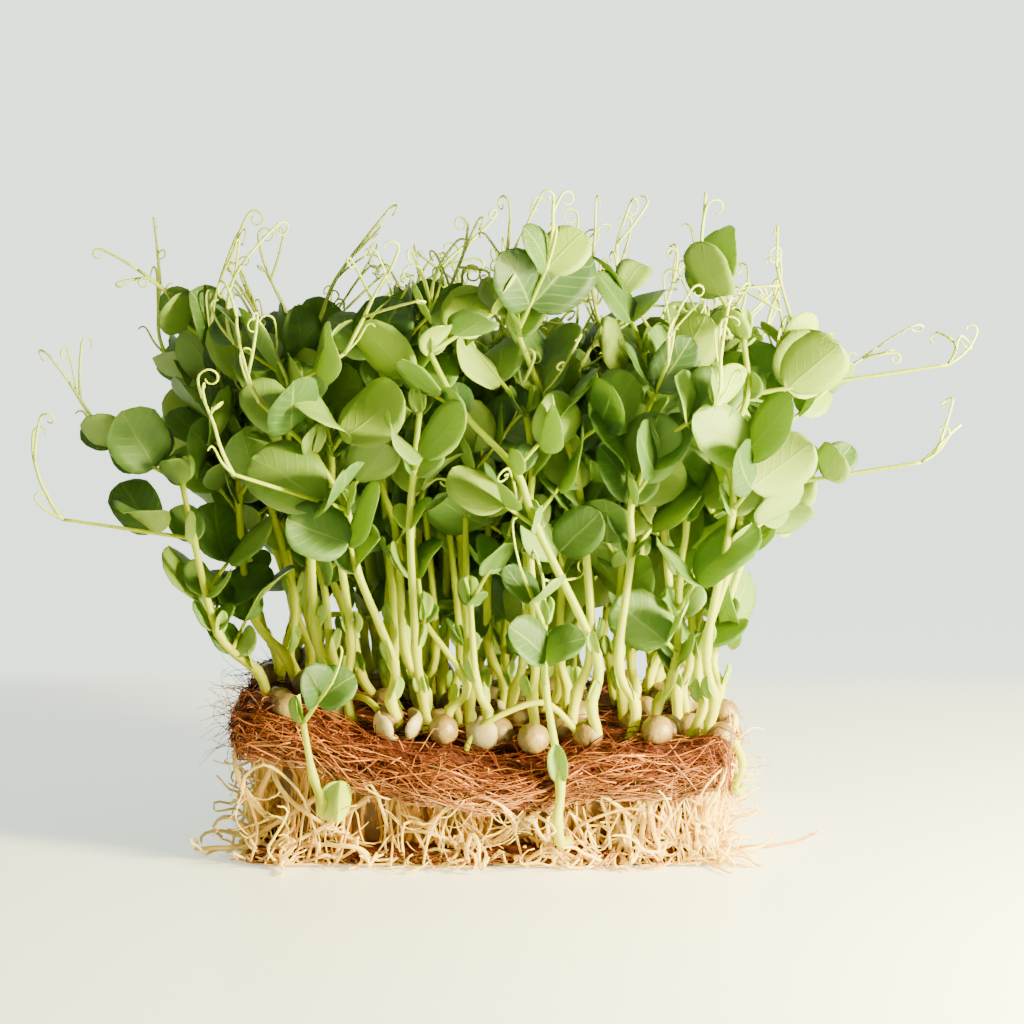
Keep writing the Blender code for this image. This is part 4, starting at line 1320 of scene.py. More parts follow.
def shoot_pieces(planned, extra, finishes):
    """Two pieces for each planned shoot, and two for each group of the further ones."""
    rng = np.random.default_rng(LOOKS_SEED + 4)
    for shoot in planned:
        stems, leaves = Shape(), Shape()
        dress_shoot(shoot, stems, leaves, rng)
        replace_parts(stems.make(f"{shoot.name}_stem", finishes["stem"], "pea_shoot"), shoot.name)
        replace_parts(leaves.make(f"{shoot.name}_leaves", finishes["leaf"], "pea_shoot"), shoot.name)
    for i in range(EXTRA_GROUPS):
        stems, leaves = Shape(), Shape()
        for shoot in extra[i::EXTRA_GROUPS]:
            dress_shoot(shoot, stems, leaves, rng)
        stems.make(f"further_stems_{i + 1}", finishes["stem"], "pea_shoot")
        leaves.make(f"further_leaves_{i + 1}", finishes["leaf"], "pea_shoot")


def add_leaves(shoot, crowd, rng):
    """Further leaves between a stem's own, wherever one has room."""
    route = smooth_route(shoot.stem, FINE_STEP)[0]
    for _ in range(EXTRA_LEAVES):
        start = route[int(rng.uniform(*EXTRA_LEAF_REACH) * (len(route) - 1))]
        azimuth, size = rng.uniform(0, 2 * math.pi), rng.uniform(*LEAF_SIZE)
        leaf = plan_leaf(start, azimuth, size, 0, rng, False)
        others = crowd.without(stem_samples(shoot))
        for choice in (turned(leaf, angle) for angle in LEAF_TURNS):
            samples = leaf_samples(choice)
            if within_limits(array(samples)) and others.room(samples) > EXTRA_LEAF_ROOM:
                shoot.leaves.append(choice)
                crowd.add(samples)
                break


def crowd_of(shoots):
    """The samples of planned shoots, with room kept in view before the front ones' stems."""
    crowd = Crowd()
    for centre in loose_pea_places():
        crowd.add(pea_samples(centre))
    for shoot in shoots:
        crowd.add(stem_samples(shoot))
        if -MAT_DEPTH / 2 < shoot.stem[0].y < FRONT_ROW:
            for step in CLEAR_STEPS:
                crowd.add([spot + Vector((0, step, 0)) for spot in stem_samples(shoot)])
        if shoot.pea:
            crowd.add(pea_samples(shoot.pea))
        for leaf in shoot.leaves:
            crowd.add(leaf_samples(leaf))
    return crowd


def plan_extra_shoots(shoots):
    """Further leaves on the planned shoots, and shoots in the gaps between them."""
    rng = np.random.default_rng(LOOKS_SEED)
    crowd = crowd_of(shoots)
    extra = fill_plot(EXTRA_FILLING, "extra_shoot", crowd, rng)
    for shoot in [*shoots, *extra]:
        tall = shoot.stem[-1].z - shoot.stem[0].z > CANOPY_HEIGHT / 2
        if tall and shoot.stem[0].y > FRONT_ROW:
            add_leaves(shoot, crowd, rng)
    left, right, _, back = EXTRA_PLOT
    for number in range(LOW_SHOOTS):
        x, y = rng.uniform(left, right), rng.uniform(LOW_FRONT, back)
        tall = plot_shoot(f"low_shoot_{number + 1:02d}", x, y, rng)
        height = CANOPY_HEIGHT * rng.uniform(*LOW_HEIGHT)
        lean = (tall.stem[-1] - tall.stem[0]) * LOW_LEAN_SHARE
        low = stand(plan_shoot(tall.name, tall.stem[0], height, lean, 0, 0, rng), crowd, LOW_STEM_ROOM)
        if low:
            spread_leaves(low, crowd, EXTRA_LEAF_ROOM)
            extra.append(low)
    return extra


# ---- peas ----


def pea_ball(shape, centre, rng):
    """A soaked pea with a creased skin, a little flattened."""
    rows, columns = PEA_ROWS, PEA_COLUMNS
    squash = rng.uniform(*PEA_SQUASH, 3)
    phase = rng.uniform(0, PHASES, 3)
    azimuths = np.arange(columns) * 2 * math.pi / columns
    polar, azimuth = np.meshgrid(np.linspace(0, math.pi, rows + 1), azimuths, indexing="ij")
    way = np.stack([np.sin(polar) * np.cos(azimuth), np.sin(polar) * np.sin(azimuth), np.cos(polar)], -1)
    x, y, z = way[..., 0], way[..., 1], way[..., 2]
    depth, over_x, over_y = SOFT_CREASE
    crease = depth * np.sin(over_x * x + phase[0]) * np.cos(over_y * y + phase[1])
    depth, over_z, over_x, sharpness = SHARP_CREASE
    crease = crease - depth * np.abs(np.sin(over_z * z + over_x * x + phase[2])) ** sharpness
    points = array([centre])[0] + way * squash * (PEA_RADIUS * (1 + crease))[..., None]
    body = points[1:-1].reshape(-1, 3)
    poles = np.array([points[0].mean(0), points[-1].mean(0)])
    faces = []
    for i in range(rows - 2):
        low, high = i * columns, (i + 1) * columns
        faces += [(low + j, high + j, high + k, low + k) for j, k in ring(columns)]
    south = (rows - 2) * columns
    for j, k in ring(columns):
        faces += [(len(body), j, k), (len(body) + 1, south + k, south + j)]
    shape.add(np.vstack([body, poles]), faces, 0.5, tone=rng.random())


def split_skin(shape, centre, rng):
    """Two cupped halves of a shed pea skin that lean apart, each a thin shell with a ragged rim."""
    rows, columns = SKIN_GRID
    rag, rags, scatter = SKIN_RAGS
    turn = rng.uniform(0, math.pi)
    for hand in (-1, 1):
        lean = compass(turn) * hand
        pole = array([(lean - UP * rng.uniform(*SKIN_TILT)).normalized()])[0]
        side = unit(np.cross(pole, SKIN_SIDE))
        other = np.cross(pole, side)
        azimuth = np.arange(columns) * 2 * math.pi / columns
        rim = SKIN_RIM + rag * np.sin(rags * azimuth + rng.uniform(0, PHASES))
        rim = rim + rng.normal(0, scatter, columns)
        polar = np.linspace(SKIN_HOLE, 1, rows)[:, None] * rim
        way = (np.cos(polar)[..., None] * pole + (np.sin(polar) * np.cos(azimuth))[..., None] * side
               + (np.sin(polar) * np.sin(azimuth))[..., None] * other)
        middle = array([centre + lean * PEA_RADIUS * SKIN_APART])[0]
        skins = [middle + way * PEA_RADIUS * share for share in SHELL_SHARES]
        size, last = rows * columns, (rows - 1) * columns
        faces = [tuple(range(columns))[::-1], tuple(size + j for j in range(columns))]
        for j, k in ring(columns):
            for a in range(0, last, columns):
                b = a + columns
                faces.append((a + j, a + k, b + k, b + j))
                faces.append((size + a + j, size + b + j, size + b + k, size + a + k))
            faces.append((last + j, last + k, size + last + k, size + last + j))
        shape.add(np.vstack([skin.reshape(-1, 3) for skin in skins]), faces, rng.random())


def pea_pieces(shoots, finish):
    """All peas, and the split skins of some: those with a shoot together, and each loose one alone."""
    rng = np.random.default_rng(LOOKS_SEED + 1)
    rooted, skins = Shape(), Shape()
    for i, shoot in enumerate(shoots):
        if shoot.pea and shoot.pea.y < FRONT_ROW and i % 2 and i > len(HABITS):
            shoot.pea = None
        if shoot.pea:
            pea_ball(rooted, shoot.pea - UP * rng.uniform(*PEA_SINKS), rng)
        if shoot.pea and i % SPLIT_SKIN_EVERY == SPLIT_SKIN_FIRST:
            split_skin(skins, shoot.stem[0] - UP * SKIN_DROP, rng)
    pea_ball(rooted, Vector(rim_spot(FELT, *BURIED_PEA)), rng)
    rooted.make("rooted_peas", finish["pea"], "soaked_pea")
    skins.make("split_skins", finish["skin"], "soaked_pea")
    for i, centre in enumerate(loose_pea_places()):
        loose = Shape()
        pea_ball(loose, centre - UP * PEA_SINK, rng)
        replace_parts(loose.make(f"soaked_pea_{i + 1}", finish["pea"], "soaked_pea"), f"loose_pea_{i + 1}")


# ---- coir ----


@dataclass
class Slab:
    """A mat or the felt: heights of its underside and top over the plan, its size, and its bulge."""
    low: object
    high: object
    width: float
    depth: float
    bulge: float


def droop(x, y):
    """How far the upper mat's edge hangs down: nothing in its middle, most in the middle of its front."""
    edge = smooth_fraction((abs(y) - DROOP_FROM) / (MAT_DEPTH / 2 - DROOP_FROM))
    middle = math.cos(math.pi * x / MAT_WIDTH) ** 2
    return edge * (DROOP * middle + wave(DROOP_WAVES, x, y) - DROOP_BASE)


UPPER = Slab(lambda x, y: mat_underside(x) - droop(x, y), lambda x, y: mat_top(x, y) - droop(x, y),
             MAT_WIDTH, MAT_DEPTH, MAT_BULGE)
LOWER = Slab(lambda x, y: 0.0, lambda x, y: LOWER_MAT_THICKNESS, MAT_WIDTH - 2 * LOWER_MAT_INSET,
             MAT_DEPTH - 2 * LOWER_MAT_INSET, LOWER_MAT_BULGE)
FELT = Slab(lambda x, y: 0.0, lambda x, y: mat_underside(x), MAT_WIDTH - 2 * ROOT_INSET,
            MAT_DEPTH - 2 * ROOT_INSET, -ROOT_WAIST)


def rim_spot(slab, p, share, off):
    """Point on a slab's side: p round its rim, share of its height, and off outwards from it."""
    p = p % 4
    t = 2 * (p % 1) - 1
    u, v = ((t, -1), (1, t), (-t, 1), (-1, -t))[int(p)]
    x, y = slab_outline(u, v, slab.width, slab.depth)
    out = unit(np.array([w if abs(w) == 1 else w**CORNER_POWER for w in (u, v)] + [0.0]))
    low, high = slab.low(x, y), slab.high(x, y)
    push = slab.bulge * math.sin(math.pi * within(share))
    return np.array([x, y, low + (high - low) * share]) + out * (push + off)


def folded(share):
    """A share that has run past 0 or 1, turned back."""
    return 1 - abs(1 - abs(share) % 2)


def lump(p, share):
    return wave(LUMPS, p, share)


def side_fibre(shape, slab, kind, rng):
    """A fibre that runs over a slab's side."""
    _, lengths, slope, turn, radii, standoff = kind
    p, share = rng.uniform(0, 4), rng.uniform(0, 1)
    length = rng.uniform(*lengths)
    angle = rng.choice((0, math.pi)) + rng.normal(0, slope)
    bend = rng.normal(0, turn)
    swing = rng.uniform(0, 2 * math.pi)
    off = rng.uniform(*standoff)
    step = length / FIBRE_STEPS
    height = slab.high(0, 0) - slab.low(0, 0)
    path = []
    for i in range(FIBRE_STEPS + 1):
        t = i / FIBRE_STEPS
        heading = angle + bend * t + SNAKE[0] * math.sin(SNAKE[1] * t + swing)
        p += math.cos(heading) * step / slab.width
        share += math.sin(heading) * step / height
        kept = folded(share)
        breath = BREATHING[0] + BREATHING[1] * math.sin(BREATHING[2] * t + swing)
        path.append(rim_spot(slab, p, kept, off * breath + lump(p, kept)))
        path[-1][2] = max(path[-1][2], FLOOR_GAP)
    # Fibres that lie deep are darkened: painted shade between the fibres.
    tone = within((off + DEEPEST) / PAINTED_SHADE_DEPTH) * rng.uniform(*FIBRE_TONE)
    strand(shape, path, rng.uniform(*radii), FIBRE_SIDES, tone, under=1 - path_share(slab, path))


def path_share(slab, path):
    middle = path[len(path) // 2]
    low, high = slab.low(middle[0], middle[1]), slab.high(middle[0], middle[1])
    return within((middle[2] - low) / (high - low))


def draped(x, y, lift):
    """A place on the mat's top, or down over its edge where x and y have run past it."""
    half_width = MAT_WIDTH / 2 * math.sqrt(max(1 - SLAB_ROUNDING * (2 * y / MAT_DEPTH) ** 2, NARROWEST))
    half_depth = MAT_DEPTH / 2 * math.sqrt(max(1 - SLAB_ROUNDING * (2 * x / MAT_WIDTH) ** 2, NARROWEST))
    inside_x = within(x, -half_width, half_width)
    inside_y = within(y, -half_depth, half_depth)
    past = math.hypot(x - inside_x, y - inside_y)
    if past:
        inside_x += (x - inside_x) / past * EDGE_STANDOFF
        inside_y += (y - inside_y) / past * EDGE_STANDOFF
    top = UPPER.high(inside_x, inside_y)
    return inside_x, inside_y, top + lift * math.exp(-past) - min(past, MAT_THICKNESS) + TOP_CLEARANCE


def top_fibre(shape, rng):
    """A fibre that arches over the mat's top and hangs down where it runs past the edge."""
    x, y = rng.uniform(-1, 1, 2) * (MAT_WIDTH / 2, MAT_DEPTH / 2)
    if rng.random() < FRONT_FIBRE_SHARE:
        y = rng.uniform(*FRONT_FIBRES) * MAT_DEPTH / 2
    length = rng.uniform(*TOP_FIBRE_LENGTH)
    any_way = rng.random() < LEVEL_SHARE
    angle = rng.uniform(0, 2 * math.pi) if any_way else rng.normal(0, LEVEL_SCATTER)
    heading = (math.cos(angle), math.sin(angle), 0)
    flat = wander((x, y, 0), heading, length, TOP_FIBRE_TURN, FIBRE_STEPS, rng)
    lift = rng.uniform(*TOP_FIBRE_LIFT) * rng.random()
    path = [draped(px, py, lift * math.sin(math.pi * i / FIBRE_STEPS)) for i, (px, py, _) in enumerate(flat)]
    radius = rng.uniform(*TANGLE[4]) * TOP_FIBRE_THICKNESS
    strand(shape, path, radius, FIBRE_SIDES, rng.random() ** TOP_FIBRE_TONE)


def wool_fibre(shape, rng):
    """A short kinked bit of pale fibre along the upper mat's lower edge."""
    p = rng.uniform(0, 4)
    share = abs(rng.normal(0, WOOL_SPREAD[0])) - WOOL_SPREAD[1]
    start = rim_spot(UPPER, p, share, WOOL_STANDOFF + lump(p, 0))
    path = wander(start, rng.normal(0, 1, 3), WOOL_LENGTH, WOOL_TURN, WOOL_STEPS, rng)
    tube(shape, path, WOOL_RADIUS, FIBRE_SIDES, rng.random(), under=1.0)


def loose_hair(shape, rng):
    """A fibre end that sticks out of the upper mat, most of all at its left end."""
    at_left = rng.random() < 0.5
    p = LEFT_END + rng.uniform(*HAIR_STRETCH) if at_left else rng.uniform(0, 4)
    share = rng.uniform(*HAIR_SHARES)
    start = rim_spot(UPPER, p, share, 0)
    out = rim_spot(UPPER, p, share, 1.0) - start
    length = rng.uniform(*LOOSE_HAIR_LENGTH) * (LEFT_HAIR_LENGTH if p > LEFT_END else 1.0)
    path = wander(start, out + rng.normal(0, HAIR_SCATTER, 3), length, HAIR_TURN, HAIR_STEPS, rng)
    strand(shape, path, HAIR_RADIUS, FIBRE_SIDES, rng.uniform(*HAIR_TONE))


def slab_body(name, finish, slot_name, slab, inset, replaced):
    """The dense inside of a mat or of the felt, with a rough skin, dark as painted shade in the depths
    between the fibres.
    """
    rng = np.random.default_rng(LOOKS_SEED + len(name))
    columns, rows, layers = BODY_GRID
    width, depth = slab.width - inset, slab.depth - inset
    upper, lower = np.empty((2, columns + 1, rows + 1, 3))
    for i in range(columns + 1):
        for j in range(rows + 1):
            x, y = slab_outline(2 * i / columns - 1, 2 * j / rows - 1, width, depth)
            upper[i, j], lower[i, j] = (x, y, slab.high(x, y)), (x, y, slab.low(x, y))
    upper[1:-1, 1:-1, 2] += rng.normal(0, BODY_ROUGHNESS[0], (columns - 1, rows - 1))
    size = (columns + 1) * (rows + 1)

    def number(i, j, layer=0):
        return layer * size + i * (rows + 1) + j

    faces = []
    for i in range(columns):
        for j in range(rows):
            faces.append((number(i, j), number(i + 1, j), number(i + 1, j + 1), number(i, j + 1)))
            faces.append((number(i, j, 1), number(i, j + 1, 1), number(i + 1, j + 1, 1), number(i + 1, j, 1)))
    rim = grid_rim(columns, rows)
    between = []
    for layer in range(1, layers):
        share = layer / layers
        for i, j in rim:
            spot = lower[i, j] * (1 - share) + upper[i, j] * share
            out = unit(np.array([spot[0], spot[1], 0.0]))
            push = slab.bulge * math.sin(math.pi * share) + rng.normal(0, BODY_ROUGHNESS[1])
            between.append(spot + out * push)
    around = len(rim)
    ladder = [[number(i, j, 1) for i, j in rim]]
    ladder += [[2 * size + layer * around + k for k in range(around)] for layer in range(layers - 1)]
    ladder.append([number(i, j) for i, j in rim])
    for below, above in zip(ladder, ladder[1:]):
        faces += [(below[k], below[n], above[n], above[k]) for k, n in ring(around)]
    points = np.vstack([upper.reshape(-1, 3), lower.reshape(-1, 3), np.array(between)])
    shape = Shape()
    # A dark tone: painted shade in the body's depths.
    shape.add(points, faces, 0.5, tone=BODY_SHADED_TONE)
    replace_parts(shape.make(name, finish, slot_name), replaced)


def fibre_piece(name, finish, *groups):
    """A piece of many fibres: each group is how many, the function that adds one, and what it needs."""
    shape = Shape()
    for count, add_one, *needs in groups:
        for _ in range(count):
            add_one(shape, *needs)
    shape.make(name, finish, "coir_fibre")


def coir_pieces(finish):
    """The two mats: a dense body each, and their fibres."""
    rng = np.random.default_rng(LOOKS_SEED + 2)
    slab_body("coir_body", finish, "coir_fibre", UPPER, BODY_INSET, "coir_mat")
    slab_body("lower_coir_body", finish, "coir_fibre", LOWER, BODY_INSET, "lower_coir_mat")
    fibre_piece("coir_strands", finish, (STRANDS[0], side_fibre, UPPER, STRANDS, rng))
    fibre_piece("coir_tangle", finish, (TANGLE[0], side_fibre, UPPER, TANGLE, rng))
    fibre_piece("lower_coir_strands", finish, (LOWER_STRANDS[0], side_fibre, LOWER, LOWER_STRANDS, rng))
    fibre_piece("coir_top_fibres", finish, (TOP_FIBRES, top_fibre, rng))
    fibre_piece("coir_wool", finish, (WOOL_FIBRES, wool_fibre, rng), (LOOSE_HAIRS, loose_hair, rng))


# ---- roots ----


def above_floor(path):
    """The path with its low points raised clear of the surface."""
    path[:, 2] = np.maximum(path[:, 2], FLOOR_GAP)
    return path


def kept_near(path):
    """The path with its points kept near the block."""
    path[:, :2] = np.clip(path[:, :2], -ROOT_LIMITS, ROOT_LIMITS)
    return path


def root_route(places, sway, rng):
    """A smooth path through places on the felt's side, each swayed a little, above the surface."""
    spots = [Vector(rim_spot(FELT, *place_at) + rng.normal(0, sway, 3)) for place_at in places]
    return above_floor(array(smooth_route(spots, ROOT_STEP)[0]))


def hanging_root(shape, p, spread, tone, radius, rng):
    """A root that hangs from the upper mat and spreads along the surface at its foot."""
    drift = rng.normal(0, spread)
    inwards = rng.uniform(*HANGING_INWARDS)
    foot = rng.uniform(*HANGING_FOOT)
    on, height, *past = HANGING_END
    on = rng.normal(0, on)
    places = [(p + drift * a, share, out + inwards * b + foot * c) for a, share, out, b, c in HANGING_PLACES]
    places.append((p + drift + on, height, foot + rng.uniform(*past)))
    strand(shape, root_route(places, ROOT_SWAY, rng), radius, ROOT_SIDES, tone)


def root_star(shape, p, rng):
    """A knot near the surface from which short thick roots spread out and down."""
    knot = rim_spot(FELT, p, rng.uniform(*STAR_HEIGHT), rng.uniform(*STAR_OUT))
    out = rim_spot(FELT, p, 0.5, 1.0) - rim_spot(FELT, p, 0.5, 0.0)
    tone = rng.uniform(*STAR_TONE)
    for _ in range(rng.integers(*STAR_ROOTS)):
        way = out * rng.uniform(*STAR_WAY) + rng.normal(0, STAR_SCATTER, 3) + STAR_FALL
        path = wander(knot, way, rng.uniform(*STAR_REACH), STAR_TURN, STAR_STEPS, rng)
        path = kept_near(above_floor(path))
        strand(shape, path, rng.uniform(*STAR_RADIUS), ROOT_SIDES, tone, STAR_END)


def curly_root(shape, p, tone, rng):
    """A thick curly root that comes out at the block's foot and lies on the surface before it."""
    scatter, height = CURLY_SCATTER
    start = rim_spot(FELT, p + rng.normal(0, scatter), abs(rng.normal(height, height)), -1.0)
    out = rim_spot(FELT, p, 0.5, 1.0) - rim_spot(FELT, p, 0.5, 0.0)
    aside = np.cross(out, (0, 0, rng.choice((-1, 1))))
    way = out * rng.uniform(*CURLY_WAY) + aside * rng.uniform(*CURLY_ASIDE) + CURLY_RISE
    path = wander(start, way, rng.uniform(*CURLY_LENGTH), CURLY_TURN, CURLY_STEPS, rng)
    path[:, 2] = FLOOR_GAP + np.abs(path[:, 2] - FLOOR_GAP) * CURLY_FLATNESS
    strand(shape, kept_near(path), rng.uniform(*CURLY_RADIUS), ROOT_SIDES, tone, CURLY_END)


def inner_root(shape, rng):
    """A root inside, seen between the outer ones and painted darker for the shade there."""
    p = rng.uniform(0, 4)
    inwards = rng.uniform(*INNER_INWARDS)
    places = [(p + rng.normal(0, INNER_SCATTER), share, -inwards) for share in INNER_SHARES]
    path = root_route(places, INNER_SWAY, rng)
    radius = rng.uniform(*FINE_ROOT_RADIUS) * INNER_THICKNESS
    # Inner roots take only dark tones: painted shade.
    strand(shape, path, radius, ROOT_SIDES, rng.uniform(*INNER_SHADED_TONE))


def lateral_roots(shape, path, tone, rng):
    """Thin roots that leave a thick one and hang down from it."""
    for _ in range(rng.integers(*LATERALS)):
        at = rng.integers(1, len(path) - 1)
        way = rng.normal(0, LATERAL_SCATTER, 3) + LATERAL_FALL
        length = rng.uniform(*LATERAL_LENGTH)
        thin = above_floor(wander(path[at], way, length, LATERAL_TURN, LATERAL_STEPS, rng))
        strand(shape, thin, rng.uniform(*LATERAL_RADIUS), ROOT_SIDES, min(1.0, tone + LATERAL_PALER))


def thick_root(shape, rng):
    """A main root that slants from the mat to the surface, with laterals."""
    p, drift = rng.uniform(0, 4), rng.normal(0, THICK_DRIFT)
    out = rng.uniform(*THICK_OUT)
    path = root_route([(p + drift * a, share, out + b) for a, share, b in THICK_PLACES], ROOT_SWAY, rng)
    tone = rng.uniform(*THICK_TONE)
    strand(shape, path, rng.uniform(*THICK_ROOT_RADIUS), THICK_ROOT_SIDES, tone, STAR_END)
    lateral_roots(shape, path, tone, rng)


def root_loop(shape, p, peak, rng):
    """A root that arches out over the upper mat's edge, as high as peak, and comes down again."""
    width, out = rng.uniform(*LOOP_WIDTH) * rng.choice((-1, 1)), rng.uniform(*LOOP_OUT)
    top = rng.uniform(*LOOP_TOP)
    places = [
        (p + width * (part + top * at_top), peak * high + height, out * share + off)
        for part, at_top, high, height, share, off in LOOP_PLACES
    ]
    path = root_route(places, LOOP_SWAY, rng)
    tone = rng.uniform(*LOOP_TONE)
    strand(shape, path, rng.uniform(*LOOP_RADIUS), LOOP_SIDES, tone)
    lateral_roots(shape, path, tone, rng)


def floor_root(shape, rng):
    """A thin root that loops along the block's foot."""
    p, length = rng.uniform(0, 4), rng.uniform(*FLOOR_LENGTH) * rng.choice((-1, 1))
    count = rng.integers(*FLOOR_COUNT)
    shares = np.abs(rng.normal(0, FLOOR_HEIGHT, count))
    places = [(p + length * i / count, share, rng.uniform(*FLOOR_OUT)) for i, share in enumerate(shares)]
    path = root_route(places, FLOOR_SWAY, rng)
    radius = rng.uniform(*FINE_ROOT_RADIUS) * INNER_THICKNESS
    strand(shape, path, radius, ROOT_SIDES, rng.uniform(*FLOOR_TONE))


def felt_root(shape, rng):
    """A pale root that winds through the dense felt at the block's right end; its high tone is partly the
    root's own cream colour and partly painted sunlight.
    """
    p = rng.uniform(*FELT_STRETCH)
    middle, scatter, highest = FELT_HEIGHTS
    shares = np.abs(rng.normal(middle, scatter, FELT_POINTS)) % highest
    drift = rng.normal(0, FELT_DRIFT)
    places = []
    for i, share in enumerate(shares):
        at = p + drift * i + rng.normal(0, FELT_SCATTER)
        places.append((at, share, rng.uniform(*FELT_OUT)))
    path = root_route(places, FELT_SWAY, rng)
    # High tones at the right end: painted sunlight over the roots' own cream colour.
    strand(shape, path, rng.uniform(*FELT_RADIUS), FELT_SIDES, rng.uniform(*FELT_SUNLIT_TONE))


def creeping_stem(shape, p, rng):
    """A pale stem that arches along the mat's top before it rises among the others."""
    start = rim_spot(UPPER, p, *CREEPING_FROM)
    inwards = unit(np.array([-start[0], -start[1], 0.0]))
    along_edge = np.cross(inwards, (0, 0, rng.choice((-1, 1))))
    path = []
    for inner, onwards, up, scatter in CREEPING_PLACES:
        rise = up + rng.uniform(-scatter, scatter) if scatter else up
        path.append(Vector(start + inwards * inner + along_edge * onwards + (0, 0, rise)))
    path = array(smooth_route(path, FINE_STEP)[0])
    radius, run = rng.uniform(*CREEPING_STEM_RADIUS), np.full(len(path), CREEPING_RUN)
    strand(shape, path, radius, CREEPING_SIDES, CREEPING_TONE, CREEPING_END, run=run)


def drooping_stem(shape):
    """A stem that hangs over the mat's right front corner in a loop and turns up at its end."""
    path = [Vector(rim_spot(UPPER, DROOPING_AT + DROOPING_STEP * i, *place_at))
            for i, place_at in enumerate(DROOPING_PLACES)]
    path = array(smooth_route(path, FINE_STEP)[0])
    run = np.linspace(0.0, DROOPING_RUN, len(path))
    strand(shape, path, DROOPING_RADIUS, STEM_SIDES, DROOPING_TONE, DROOPING_END, run=run)


def stray_strand(finish):
    """The root that trails out to the right in an arc."""
    stray = Shape()
    bend, (x, y), (swing, rate) = STRAY_ROOT_BEND, STRAY_ROOT_START, STRAY_ROOT_WAVE
    turns = np.linspace(0, STRAY_ROOT_SWEEP, STRAY_ROOT_POINTS)
    path = [
        (x + bend * math.sin(a), y + bend * (1 - math.cos(a)) + swing * math.sin(rate * a), STRAY_ROOT_HEIGHT)
        for a in turns
    ]
    strand(stray, path, STRAY_ROOT_RADIUS, FELT_SIDES, 0.0)
    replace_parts(stray.make("stray_strand", finish, "pea_roots"), "stray_root")


def root_pieces(finish):
    """The root felt: its inside, and the roots that show round it."""
    rng = np.random.default_rng(LOOKS_SEED + 3)

    def places_round(count):
        """Places spread round the rim, each drawn when it is needed."""
        return (4 * (i + rng.uniform(0, 1)) / count for i in range(count))

    slab_body("root_felt", finish["felt"], "pea_roots", FELT, FELT_INSET, "root_mass")
    hanging, main_roots, tangle, creeping = Shape(), Shape(), Shape(), Shape()
    for p in places_round(ROOT_TUFTS):
        tone = rng.uniform(*TUFT_TONE)
        for _ in range(rng.integers(*TUFT_ROOTS)):
            shade = within(tone + rng.normal(0, TONE_SCATTER))
            place_at = p + rng.normal(0, TUFT_WIDTH)
            hanging_root(hanging, place_at, TUFT_SPREAD, shade, rng.uniform(*FINE_ROOT_RADIUS), rng)
    for _ in range(THICK_ROOTS):
        thick_root(main_roots, rng)
    for p in places_round(ROOT_STARS):
        root_star(main_roots, p, rng)
    for _ in range(INNER_ROOTS):
        inner_root(hanging, rng)
    for _ in range(ROOT_LOOPS):
        root_loop(main_roots, rng.uniform(0, 4), rng.uniform(*LOOP_PEAKS), rng)
    for _ in range(END_LOOPS):
        root_loop(main_roots, rng.uniform(*FELT_STRETCH), rng.uniform(*END_PEAKS), rng)
    for _ in range(FLOOR_ROOTS):
        floor_root(tangle, rng)
    for _ in range(FELT_ROOTS):
        felt_root(tangle, rng)
    for p in places_round(CURLY_TANGLES):
        for _ in range(rng.integers(*CURLY_COUNT)):
            curly_root(tangle, p, rng.uniform(*CURLY_TONE), rng)
    for p in places_round(CREEPING_STEMS):
        creeping_stem(creeping, p, rng)
    drooping_stem(creeping)
    creeping.make("creeping_stems", finish["stem"], "pea_shoot")
    hanging.make("hanging_roots", finish["root"], "pea_roots")
    main_roots.make("main_roots", finish["root"], "pea_roots")
    tangle.make("root_tangle", finish["root"], "pea_roots")
    stray_strand(finish["root"])


# ---- materials ----


def node(tree, kind, **inputs):
    """A shader node with some of its inputs or settings given."""
    made = tree.nodes.new(kind)
    for key, value in inputs.items():
        if key in made.inputs:
            made.inputs[key].default_value = value
        else:
            setattr(made, key, value)
    return made


